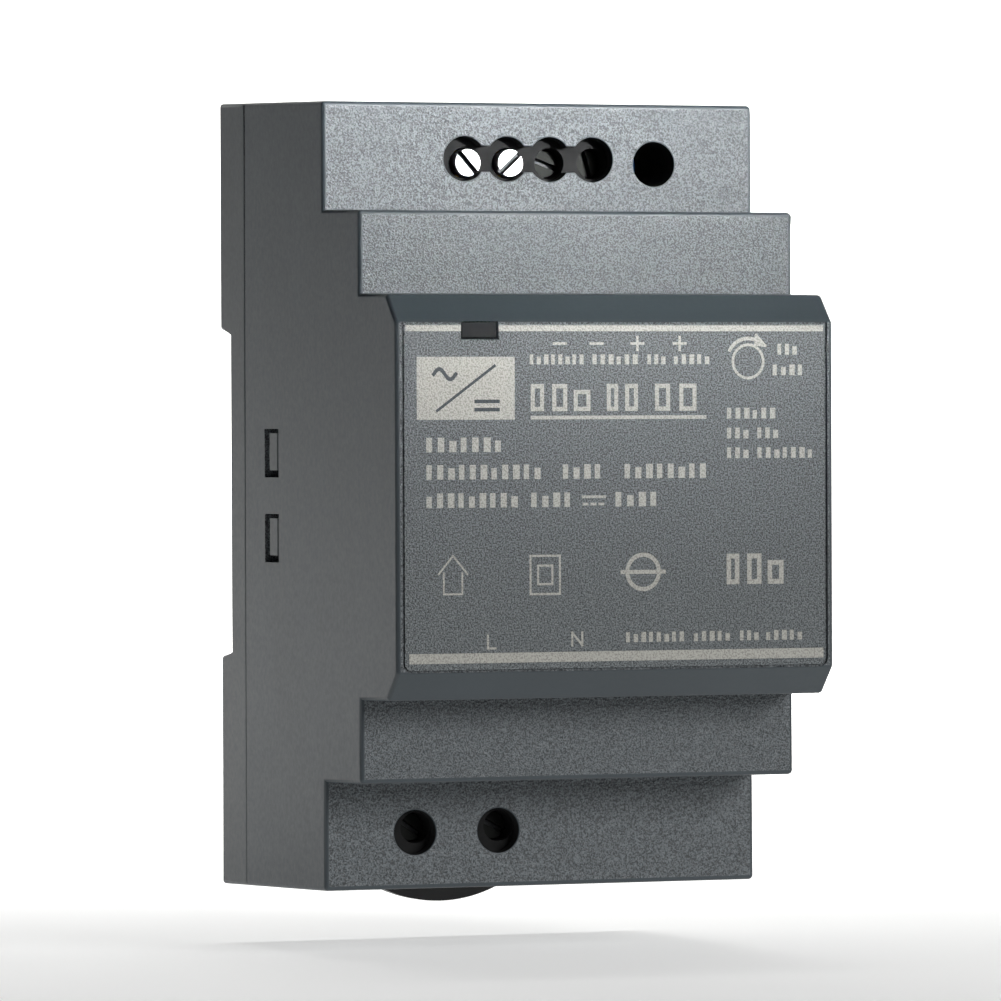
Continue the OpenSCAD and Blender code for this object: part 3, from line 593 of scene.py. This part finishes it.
# what each piece inside the case is made of, by the record's slot
FINISHES = {
    "terminal_brass": (worked_metal, "Stamped brass", "#b9a15a", {"roughness": 0.3}),
    "plate_steel": (worked_metal, "Zinc plated steel", "#b9bcbe", {"roughness": 0.32}),
    "glass_epoxy_board": (masked_board, "Masked glass epoxy", "#2b5c38", {}),
    "fuse_case": (polished_plastic, "Moulded fuse case", "#23262a", {}),
    "varistor_coating": (dipped_epoxy, "Blue dipped epoxy", "#2b59a8", {}),
    "thermistor_coating": (dipped_epoxy, "Dark green dipped epoxy", "#25332d", {}),
    "film_capacitor_case": (waxy_plastic, "Yellow polyester case", "#d3bd38", {}),
    "ferrite": (sintered_ferrite, "Sintered ferrite", "#35383b", {}),
    "copper_wire": (enamelled_copper, "Enamelled copper", "#b0592b", {}),
    "black_epoxy": (polished_plastic, "Moulded black epoxy", "#1b1c1e", {"roughness": 0.5}),
    "capacitor_sleeve": (shrunk_sleeve, "Shrunk PVC sleeve", "#1f2b46", {}),
    "heat_sink_aluminium": (worked_metal, "Mill finish aluminium", "#b4b8bc", {"roughness": 0.36}),
    "ceramic_capacitor_coating": (dipped_epoxy, "Light blue dipped epoxy", "#3f78b5", {}),
    "bobbin_phenolic": (polished_plastic, "Moulded phenolic", "#22262b", {"roughness": 0.45}),
    "winding_tape": (wound_tape, "Yellow polyester tape", "#d9b23c", {}),
    "adjuster_case": (waxy_plastic, "Blue moulded adjuster", "#2456a6", {}),
    "adjuster_rotor_plastic": (waxy_plastic, "Ivory rotor plastic", "#e3dcc6", {}),
    "lamp_epoxy": (clear_epoxy, "Cast lamp epoxy", "#dfe6dc", {}),
    "spring_steel": (worked_metal, "Drawn spring steel", "#a9adb1", {"roughness": 0.28, "run": (1, 1, 0.4)}),
    "screw_nickel": (
        worked_metal, "Nickel plated steel", "#b4b6b6", {"roughness": 0.34, "run": (1, 1, 0.08)},
    ),
}


def finish_for(slot):
    """The material of a slot, made once."""
    maker, name, hex_colour, extra = FINISHES[slot]
    return bpy.data.materials.get(name) or maker(name, linear(hex_colour), **extra)


# ---------- pieces ----------


class BuildsPiece:
    """What every operator here shares."""

    bl_options = {"REGISTER", "UNDO"}


class PSU_OT_housing(BuildsPiece, bpy.types.Operator):
    """Rounds the front housing's edges, grains the fronts of its tiers and paints its hole walls black as
    painted shade
    """

    bl_idname = "psu.housing"
    bl_label = "Front housing"

    def execute(self, context):
        edges, colours = context.scene.psu_edges, context.scene.psu_colours
        shell = merged_copy("housing", "front_housing")
        rear = CASE_HIGH.y
        half_height = (CASE_HIGH.z - CASE_LOW.z) / 2

        def on_side(face):
            return abs(face.normal.x) > 0.999 and abs(abs(face.calc_center_median().x) - HALF_WIDTH) < NEAR

        def side_outline(edge):
            at_side = all(abs(abs(v.co.x) - HALF_WIDTH) < NEAR for v in edge.verts)
            outer = [f for f in edge.link_faces if not on_side(f)]
            window = abs(middle(edge).z - CASE_Z) < 9 * MM and middle(edge).y > rear - 12 * MM
            return at_side and len(outer) == 1 and abs(outer[0].normal.x) < 0.1 and not window and (
                outer[0].normal.y < 0.9
            )

        round_edges(shell, edges.side_round, side_outline)

        def seam(edge):
            place = middle(edge)
            at_rim = all(abs(v.co.y - rear) < NEAR for v in edge.verts)
            outside = abs(place.x) > HALF_WIDTH - 0.9 * MM or abs(place.z - CASE_Z) > half_height - 0.9 * MM
            return at_rim and outside and sharp(edge, 60)

        round_edges(shell, edges.seam_round, seam, 2)

        def rim(edge):
            place = middle(edge)
            faces = [f for f in edge.link_faces if f.normal.y < -0.99]
            others = [f for f in edge.link_faces if abs(f.normal.y) < 0.3]
            hole = len(faces) == 1 and len(others) == 1 and sharp(edge, 60)
            return hole and edge.is_convex and abs(place.x) < HALF_WIDTH - 2 * MM

        round_edges(shell, edges.rim_round, rim, 2)
        plain = polished_plastic("Polished case plastic", colours.smooth)
        # the fronts' grain carries painted glints of strength 0.9
        grained = grained_plastic("Spark-eroded case plastic", colours.grained, 0.9)
        shell.data.materials.append(plain)
        shell.data.materials.append(grained)
        # the walls of the screw and adjuster holes are the housing's own plastic, painted black here as
        # painted shade
        shell.data.materials.append(waxy_plastic("Hole walls painted black as shade", colours.block, NYLON_ROUGHNESS))
        screw_z = sum(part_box("output_screw_1"), Vector()).z / 2

        def shaded_hole_wall(face):
            """On the wall of a hole over a terminal screw or over the adjuster; these walls are painted black
            as painted shade.
            """
            place = face.calc_center_median()
            level = abs(abs(place.z - CASE_Z) - abs(screw_z - CASE_Z)) < 3 * MM
            inside = abs(place.x) < HALF_WIDTH - 4 * MM and place.y < rear - 18 * MM
            return level and inside and abs(face.normal.y) < 0.3

        with editing(shell):
            for index, test in ((1, lambda f: f.normal.y < -0.9999), (2, shaded_hole_wall)):
                choose(shell, test, faces=True)
                shell.active_material_index = index
                bpy.ops.object.material_slot_assign()
        smooth_moulding(shell)
        stands_for(shell, "housing", None)
        return {"FINISHED"}


class PSU_OT_rear_base(BuildsPiece, bpy.types.Operator):
    """Rounds the rear base's outline, seam and rail channel"""

    bl_idname = "psu.rear_base"
    bl_label = "Rear base"

    def execute(self, context):
        edges, colours = context.scene.psu_edges, context.scene.psu_colours
        base = merged_copy("rear_base", "rear_base_shell")
        low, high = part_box("rear_base")
        seam_y = CASE_HIGH.y

        def outline(edge):
            along = (edge.verts[0].co - edge.verts[1].co).normalized()
            at_side = all(abs(abs(v.co.x) - HALF_WIDTH) < NEAR for v in edge.verts)
            return at_side and sharp(edge, 20) and abs(along.y) > 0.5 and edge.is_convex

        round_edges(base, edges.side_round, outline)

        def seam(edge):
            place = middle(edge)
            outside = abs(place.x) > HALF_WIDTH - 0.9 * MM or not (
                low.z + 1.2 * MM < place.z < high.z - 1.2 * MM
            )
            return all(abs(v.co.y - seam_y) < NEAR for v in edge.verts) and outside and sharp(edge, 60)

        round_edges(base, edges.seam_round, seam, 2)

        def rear_rim(edge):
            return all(abs(v.co.y - high.y) < NEAR for v in edge.verts) and sharp(edge) and (
                (edge.verts[0].co - edge.verts[1].co).length > 1 * MM
            )

        round_edges(base, edges.rim_round, rear_rim, 2)
        smooth_moulding(base)
        stands_for(base, "rear_base", polished_plastic("Polished base plastic", colours.base))
        return {"FINISHED"}


class PSU_OT_label(BuildsPiece, bpy.types.Operator):
    """Eases the front label's edges and grains its face"""

    bl_idname = "psu.label"
    bl_label = "Front label"

    def execute(self, context):
        label = merged_copy("front_label", "front_label_plate")
        front = LABEL_LOW.y

        def face_edge(edge):
            return all(abs(v.co.y - front) < NEAR for v in edge.verts) and sharp(edge, 60)

        round_edges(label, context.scene.psu_edges.metal_round, face_edge, 2)
        smooth_moulding(label)
        # the label's grain carries painted glints of strength 1.1
        grained = grained_plastic("Spark-eroded label", context.scene.psu_colours.label, 1.1)
        stands_for(label, "front_label", grained)
        return {"FINISHED"}


# the print's layout, in millimetres from the middle of the label: left, right, bottom, top
BANDS = [(-25.1, -18.55, 18.2, 18.85), (-14.1, 25.1, 18.2, 18.85), (-24.8, 25.0, -18.2, -17.1)]
BADGE = (-23.8, -12.2, 8.5, 15.4)
RULE = (-10.3, 10.8, 8.5, 8.9)
# rows of marks that stand where a maker prints words: left, right, middle height, mark height
ROWS = [
    (-10.4, -3.6, 15.1, 1.1), (-2.9, 2.9, 15.1, 1.1), (3.7, 6.2, 15.1, 1.1), (6.9, 11.6, 15.1, 1.1),
    (19.5, 22.2, 16.2, 1.2), (18.9, 23.0, 13.9, 1.2),
    (-10.3, -2.6, 10.9, 3.0), (-1.2, 3.2, 10.9, 3.0), (4.6, 10.5, 10.9, 3.0),
    (13.3, 19.6, 9.1, 1.2), (13.3, 16.3, 6.9, 1.2), (17.0, 19.9, 6.9, 1.2),
    (13.3, 16.3, 4.7, 1.2), (17.0, 24.2, 4.7, 1.2),
    (-22.7, -13.2, 5.75, 1.6),
    (-22.7, -8.6, 2.75, 1.6), (-6.5, -1.4, 2.75, 1.6), (0.9, 11.3, 2.75, 1.6),
    (-22.7, -11.4, -0.35, 1.6), (-10.3, -5.0, -0.35, 1.6), (-0.2, 5.4, -0.35, 1.6),
    (13.2, 20.7, -8.2, 3.4),
    (1.0, 8.4, -15.6, 1.1), (9.2, 14.0, -15.6, 1.1), (14.8, 17.4, -15.6, 1.1), (18.0, 22.8, -15.6, 1.1),
]
POLARITY = [(-6.8, False), (-2.4, False), (2.5, True), (7.6, True)]
POLARITY_Z = 16.85
ADJUSTER_RING = (15.9, 14.85)
INPUT_MARKS = {"L": (-15.1, -15.9), "N": (-4.85, -15.7)}


class PSU_OT_print(BuildsPiece, bpy.types.Operator):
    """Prints the label's bands, badge, rows of marks and symbols"""

    bl_idname = "psu.print"
    bl_label = "Print on the label"

    hollow_over = 2.0  # marks taller than this are drawn as frames

    def on_label(self, x, z):
        """A place on the print's face; each stroke lies a hair above the last, so crossings stay clean."""
        self.layer = (self.layer + 1) % 5
        return (x * MM, LABEL_LOW.y - self.ink - self.layer * 0.002 * MM, PANEL.z + z * MM)

    def bar(self, left, right, bottom, top, angle=0.0):
        """A flat bar, turned about its own middle."""
        place = self.on_label((left + right) / 2, (bottom + top) / 2)
        bpy.ops.mesh.primitive_plane_add(size=MM, rotation=(math.pi / 2, 0, 0), location=place)
        bpy.ops.transform.resize(value=(right - left, 1, top - bottom), center_override=place)
        if angle:
            bpy.ops.transform.rotate(value=angle, orient_axis="Y", center_override=place)

    def line(self, start_point, end_point, width):
        """A straight stroke between two points, a little longer so that corners close."""
        (x0, z0), (x1, z1) = start_point, end_point
        x, z = (x0 + x1) / 2, (z0 + z1) / 2
        half = (math.hypot(x1 - x0, z1 - z0) + width) / 2
        self.bar(x - half, x + half, z - width / 2, z + width / 2, math.atan2(z1 - z0, x1 - x0))

    def path(self, points, width):
        for one, two in zip(points, points[1:]):
            self.line(one, two, width)

    def arc(self, x, z, radius, first, last, width, steps=28):
        angles = [math.radians(first + (last - first) * i / steps) for i in range(steps + 1)]
        self.path([(x + radius * math.cos(a), z + radius * math.sin(a)) for a in angles], width)

    def printed(self, context, name, draw, material):
        """Draws flat shapes in a new piece, and gives them the ink's thickness."""
        piece = new_piece(name)
        with editing(piece):
            draw()
        skin = piece.modifiers.new("Ink", "SOLIDIFY")
        skin.thickness = self.ink / 2
        skin.offset = -1
        apply_modifiers(piece)
        piece.data.materials.append(material)
        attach(piece, body_of("front_label"))
        return piece

    def bands(self):
        for band in BANDS:
            self.bar(*band)
        self.bar(*RULE)

    def rows(self):
        """Plain upright marks of uneven width, which stand in for words and spell nothing.

        Tall ones are hollow frames, and small ones are bars.
        """
        for left, right, height_at, tall in ROWS:
            pitch = tall * 0.82
            count = max(2, round((right - left) / pitch))
            pitch = (right - left) / count
            for i in range(count):
                wide = pitch * (0.62 + 0.16 * ((i * 7) % 3) / 2)
                drop = tall * 0.22 * ((i * 5 + count) % 4 == 1)
                x = left + pitch * i
                low, high = height_at - tall / 2, height_at + tall / 2 - drop
                if tall > self.hollow_over:
                    edge = tall * 0.16
                    inner = [(x + edge / 2, low + edge / 2), (x + wide - edge / 2, high - edge / 2)]
                    (x0, z0), (x1, z1) = inner
                    self.path([(x0, z0), (x1, z0), (x1, z1), (x0, z1), (x0, z0)], edge)
                else:
                    self.bar(x, x + wide * 0.8, low, high)

    def symbols(self):
        pen = self.stroke
        for x, plus in POLARITY:
            self.line((x - 0.7, POLARITY_Z), (x + 0.7, POLARITY_Z), pen)
            if plus:
                self.line((x, POLARITY_Z - 0.7), (x, POLARITY_Z + 0.7), pen)
        # turn-to-adjust ring with its arrow
        x, z = ADJUSTER_RING
        self.arc(x, z, 1.85, 0, 360, pen)
        self.arc(x, z, 2.55, 150, 55, pen * 1.3, 12)
        self.path([(x + 1.0, z + 2.9), (x + 2.1, z + 1.75), (x + 0.9, z + 1.9), (x + 1.0, z + 2.9)], pen)
        # direct current: a solid line over a broken one
        self.line((-4.1, -0.05), (-1.5, -0.05), pen)
        for i in range(3):
            self.line((-4.0 + i * 0.95, -0.85), (-3.6 + i * 0.95, -0.85), pen)
        # indoor use: a house
        self.path([(-21.3, -8.4), (-19.6, -6.4), (-17.9, -8.4)], pen * 0.7)
        self.path([(-20.7, -8.3), (-20.7, -10.6), (-18.5, -10.6), (-18.5, -8.3)], pen * 0.7)
        # double insulation: a square in a square
        for half in (1.75, 0.85):
            tall = half * 1.2
            self.path(
                [(-8.65 - half, -8.6 - tall), (-8.65 + half, -8.6 - tall), (-8.65 + half, -8.6 + tall),
                 (-8.65 - half, -8.6 + tall), (-8.65 - half, -8.6 - tall)], pen * 0.8,
            )
        # a plain ring with a bar through it
        self.arc(3.1, -8.4, 1.9, 0, 360, pen * 1.5)
        self.line((0.6, -8.4), (5.6, -8.4), pen * 1.5)
        x, z = INPUT_MARKS["L"]
        self.path([(x - 0.4, z + 0.7), (x - 0.4, z - 0.7), (x + 0.5, z - 0.7)], pen * 0.8)
        x, z = INPUT_MARKS["N"]
        self.path([(x - 0.6, z - 0.7), (x - 0.6, z + 0.7), (x + 0.6, z - 0.7), (x + 0.6, z + 0.7)], pen * 0.8)

    def badge(self):
        self.bar(*BADGE)

    def converter(self):
        """Mains wave and direct current lines, parted by a slant: the symbol of a converter."""
        left, right, bottom, top = BADGE
        self.line((left + 2.4, bottom + 1.0), (right - 2.4, top - 1.0), 0.3)
        wave = [
            (left + 2.0 + 2.6 * i / 12, top - 1.9 + 0.55 * math.sin(math.tau * i / 12)) for i in range(13)
        ]
        self.path(wave, 0.4)
        self.line((right - 4.6, bottom + 2.0), (right - 2.0, bottom + 2.0), 0.4)
        self.line((right - 4.6, bottom + 1.1), (right - 2.0, bottom + 1.1), 0.4)

    def execute(self, context):
        sizes = context.scene.psu_print
        self.ink, self.stroke, self.layer = sizes.ink, sizes.stroke / MM, 0
        ink = printed_ink("Cream printed ink", context.scene.psu_colours.ink)
        for name, draw in (
            ("print_bands", self.bands), ("print_rows", self.rows),
            ("print_symbols", self.symbols), ("print_badge", self.badge),
        ):
            self.printed(context, name, draw, ink)
        self.ink *= 2
        dark = printed_ink("Dark printed ink", context.scene.psu_colours.smooth)
        self.printed(context, "print_badge_symbol", self.converter, dark)
        return {"FINISHED"}


class PSU_OT_indicator(BuildsPiece, bpy.types.Operator):
    """Finishes the smoked light guide behind the indicator window"""

    bl_idname = "psu.indicator"
    bl_label = "Indicator window"

    def execute(self, context):
        guide = eased_copy("light_pipe", "indicator_light_guide", 0.12 * MM)
        stands_for(guide, "light_pipe", tinted_acrylic("Smoked acrylic", linear("#16181a")))
        return {"FINISHED"}


class PSU_OT_rail_clip(BuildsPiece, bpy.types.Operator):
    """Rounds the rail clip and its pull tab"""

    bl_idname = "psu.rail_clip"
    bl_label = "Rail clip"

    def execute(self, context):
        sizes = context.scene.psu_edges
        clip = eased_copy("rail_clip", "rail_clip_slider", sizes.clip_round, 3)
        stands_for(clip, "rail_clip", waxy_plastic("Black acetal", context.scene.psu_colours.clip))
        return {"FINISHED"}


class PSU_OT_spring(BuildsPiece, bpy.types.Operator):
    """Winds the clip's spring"""

    bl_idname = "psu.spring"
    bl_label = "Clip spring"

    def execute(self, context):
        sizes = context.scene.psu_spring
        low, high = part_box("clip_spring")
        wire = sizes.wire / 2
        radius = (high.x - low.x) / 2 - wire
        tall = high.z - low.z - 2 * wire
        centre = (low + high) / 2
        bpy.ops.object.select_all(action="DESELECT")
        bpy.ops.mesh.primitive_circle_add(
            vertices=10, radius=wire, location=(radius, 0, 0), rotation=(math.pi / 2, 0, 0)
        )
        coil = context.active_object
        coil.name = coil.data.name = "clip_spring_coil"
        settle(coil)
        wind = coil.modifiers.new("Wind", "SCREW")
        wind.axis = "Z"
        wind.iterations = sizes.turns
        wind.screw_offset = tall / sizes.turns
        wind.steps = wind.render_steps = 28
        wind.use_merge_vertices = False
        apply_modifiers(coil)
        close_ends(coil)
        coil.location = (centre.x, centre.y, low.z + wire)
        settle(coil)
        smooth(coil, 50)
        stands_for(coil, "clip_spring", finish_for("spring_steel"))
        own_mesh(coil)
        return {"FINISHED"}


def close_ends(piece):
    """Fills the open ends of a swept wire, and turns its faces outwards."""
    with editing(piece):
        choose(piece, lambda e: len(e.link_faces) == 1)
        bpy.ops.mesh.fill_holes(sides=0)
        bpy.ops.mesh.select_all(action="SELECT")
        bpy.ops.mesh.normals_make_consistent(inside=False)


BRIGHT_SCREWS = ("output_screw_1", "output_screw_2")  # nickel plated; the others are the same nickel screws, painted dark as painted shade


class PSU_OT_screws(BuildsPiece, bpy.types.Operator):
    """Rounds each terminal screw's slotted head, paints the inside of its slot dark as painted shade, and
    paints the screws outside BRIGHT_SCREWS dark as painted shade
    """

    bl_idname = "psu.screws"
    bl_label = "Terminal screws"

    def execute(self, context):
        metal = context.scene.psu_edges.metal_round
        # the inside of each slot is painted dark as painted shade
        painted_slot_shade = worked_metal("Slot painted dark as shade", linear("#3a3b3c"), 0.5)
        # screws outside BRIGHT_SCREWS are nickel plated too; this near-black steel is painted shade for their
        # depth in the holes
        dark = worked_metal("Nickel steel painted dark as shade", linear("#1d1e1d"), 0.5)

        def in_slot(face, low):
            depth = face.calc_center_median().y - low.y
            return metal * 1.5 < depth < 0.85 * MM and face.normal.y < 0.5 and not outward(face)

        def outward(face):
            """On the head's own rim, which faces away from the screw's axis."""
            reach = Vector((face.calc_center_median().x - axis.x, 0, face.calc_center_median().z - axis.z))
            return reach.length > 1.4 * MM and reach.normalized().dot(face.normal) > 0.9

        for node in sorted(n for n in frame["nodes"] if "_screw_" in n):
            axis = sum(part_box(node), Vector()) / 2
            low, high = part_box(node)
            screw = eased_copy(node, node + "_turned", metal)
            stands_for(screw, node, finish_for("screw_nickel") if node in BRIGHT_SCREWS else dark)
            screw.data.materials.append(painted_slot_shade)
            with editing(screw):
                screw.active_material_index = 1
                choose(screw, lambda f: in_slot(f, low), faces=True)
                bpy.ops.object.material_slot_assign()
        return {"FINISHED"}


class PSU_OT_terminals(BuildsPiece, bpy.types.Operator):
    """Finishes the terminal blocks, their brass cages and their pressure plates"""

    bl_idname = "psu.terminals"
    bl_label = "Terminal blocks"

    def execute(self, context):
        nylon = waxy_plastic("Black nylon", context.scene.psu_colours.block, NYLON_ROUGHNESS)
        sizes = context.scene.psu_edges
        for node in sorted(frame["nodes"]):
            if node.endswith("_terminal_block"):
                block = eased_copy(node, node + "_moulding", sizes.rim_round)
                stands_for(block, node, nylon)
            elif node.endswith("_frames") or "_plate_" in node:
                metal = eased_copy(node, node + "_stamping", sizes.metal_round)
                stands_for(metal, node, finish_for(SLOT_OF[node]))
        return {"FINISHED"}


class PSU_OT_electronics(BuildsPiece, bpy.types.Operator):
    """Finishes the board, the parts that stand on it and the adjuster"""

    bl_idname = "psu.electronics"
    bl_label = "Board and its parts"

    def execute(self, context):
        for node, part in frame["nodes"].items():
            if not part.hide_render and SLOT_OF[node] in FINISHES:
                part.data.materials.clear()
                part.data.materials.append(finish_for(SLOT_OF[node]))
        return {"FINISHED"}


# ---------- stage ----------

# where the camera stands and looks, in metres, level with the middle of the case
CAMERA = Vector((-0.34963, -0.86206, 0.00988))
TARGET = Vector((-0.00257, -0.0239, -0.00031))
CAMERA_ROLL = math.radians(-0.22)


class PSU_OT_stage(BuildsPiece, bpy.types.Operator):
    """Sets the pale sweep, the soft lights and the camera"""

    bl_idname = "psu.stage"
    bl_label = "Stage"

    def light(self, name, place, aim, watts, width, tall, spread=math.pi):
        bpy.ops.object.light_add(type="AREA", location=place)
        lamp = bpy.context.active_object
        lamp.name = name
        lamp.data.shape = "RECTANGLE"
        lamp.data.size, lamp.data.size_y = width, tall
        lamp.data.energy = watts
        lamp.data.spread = spread
        lamp.rotation_mode = "QUATERNION"
        lamp.rotation_quaternion = (Vector(aim) - Vector(place)).to_track_quat("-Z", "Y")

    def sweep(self, colour_of):
        """A floor that curves up into a backdrop, low enough for the clip to be pulled down."""
        deselect()
        ground = CAD_LOW.z - CLIP_TRAVEL - 0.2 * MM
        bpy.ops.mesh.primitive_plane_add(size=2.4, location=(0.85, 1.0, ground))
        floor = bpy.context.active_object
        floor.name = "stage_sweep"
        settle(floor)
        with editing(floor):
            choose(floor, lambda e: all(v.co.y > 2 for v in e.verts))
            bpy.ops.mesh.extrude_region_move(TRANSFORM_OT_translate={"value": (0, 0, 1.6)})
            choose(floor, lambda e: all(v.co.y > 2 and v.co.z < 0 for v in e.verts))
            bpy.ops.mesh.bevel(offset=0.6, segments=16, affect="EDGES")
        smooth(floor, 60)
        paper, tree, surface, place = start(
            "Pale paper sweep", Roughness=0.85, Emission_Strength=0.45, Emission_Color=(1, 1, 1, 1)
        )
        fibres = noise(tree, place, 3, 3)
        feed(tree, surface, Base_Color=blend(tree, fibres, shade(colour_of, 0.98), colour_of))
        floor.data.materials.append(paper)

    def execute(self, context):
        sizes = context.scene.psu_stage
        self.sweep(linear("#f2f2f0"))
        self.light("Key", (0.37, -0.88, 0.26), (0, -0.03, 0.03), sizes.key, 0.5, 0.34)
        self.light(
            "Crown", (0.3, -0.8, 0.14), (0, -0.03, 0.085), sizes.crown, 0.05, 0.04, spread=math.radians(12)
        )
        self.light("Side", (-0.8, -0.3, 0.1), (0, 0, 0), sizes.side, 0.5, 0.7)
        self.light(
            "Backdrop", (0, 0.4, 1.2), (0.2, 1.3, -0.05), sizes.backdrop, 1.6, 0.5, spread=math.radians(110)
        )
        world = bpy.data.worlds.new("Studio")
        world.use_nodes = True
        room = world.node_tree.nodes["Background"]
        room.inputs["Color"].default_value = opaque(linear("#c9ccce"))
        # the room is pale to look at, and dim as a light, so that the lamps shape the case
        seen = add(world.node_tree, "ShaderNodeLightPath").outputs["Is Camera Ray"]
        strength = ramp(world.node_tree, seen, 0, 1, DIMMED_ROOM, PALE_ROOM)
        world.node_tree.links.new(strength, room.inputs["Strength"])
        context.scene.world = world
        context.scene.view_settings.view_transform = "Standard"
        forward = (TARGET - CAMERA).normalized()
        right = forward.cross(Vector((0, 0, 1))).normalized()
        up = right.cross(forward)
        turned = right * math.cos(CAMERA_ROLL) + up * math.sin(CAMERA_ROLL)
        raised = up * math.cos(CAMERA_ROLL) - right * math.sin(CAMERA_ROLL)
        bpy.ops.object.camera_add()
        camera = context.active_object
        facing = Matrix((turned, raised, -forward)).transposed().to_4x4()
        camera.matrix_world = Matrix.Translation(CAMERA) @ facing
        camera.data.lens = sizes.lens
        camera.data.sensor_width = 36
        camera.data.clip_start, camera.data.clip_end = 0.05, 20
        context.scene.camera = camera
        return {"FINISHED"}


# ---------- panel and registration ----------

OPERATORS = (
    PSU_OT_housing, PSU_OT_rear_base, PSU_OT_label, PSU_OT_print, PSU_OT_indicator, PSU_OT_rail_clip,
    PSU_OT_spring, PSU_OT_screws, PSU_OT_terminals, PSU_OT_electronics, PSU_OT_stage,
)
GROUPS = {
    "psu_edges": EdgeSizes, "psu_print": PrintSizes, "psu_spring": SpringSizes,
    "psu_colours": PlasticColours, "psu_stage": StageSizes,
}


class PSU_PT_panel(bpy.types.Panel):
    """Lists the sizes and the steps that build the power supply's looks"""

    bl_label = "Power supply"
    bl_space_type = "VIEW_3D"
    bl_region_type = "UI"
    bl_category = "Power supply"

    def draw(self, context):
        for group, kind in GROUPS.items():
            box = self.layout.box()
            for name in kind.__annotations__:
                box.prop(getattr(context.scene, group), name)
        for operator in OPERATORS:
            self.layout.operator(operator.bl_idname)


def register():
    for kind in (*GROUPS.values(), *OPERATORS, PSU_PT_panel):
        bpy.utils.register_class(kind)
    for name, kind in GROUPS.items():
        setattr(bpy.types.Scene, name, PointerProperty(type=kind))


def unregister():
    for name in GROUPS:
        delattr(bpy.types.Scene, name)
    for kind in reversed((*GROUPS.values(), *OPERATORS, PSU_PT_panel)):
        bpy.utils.unregister_class(kind)


def main():
    register()
    for operator in OPERATORS:
        group, name = operator.bl_idname.split(".")
        getattr(getattr(bpy.ops, group), name)()


if __name__ == "__main__":
    main()
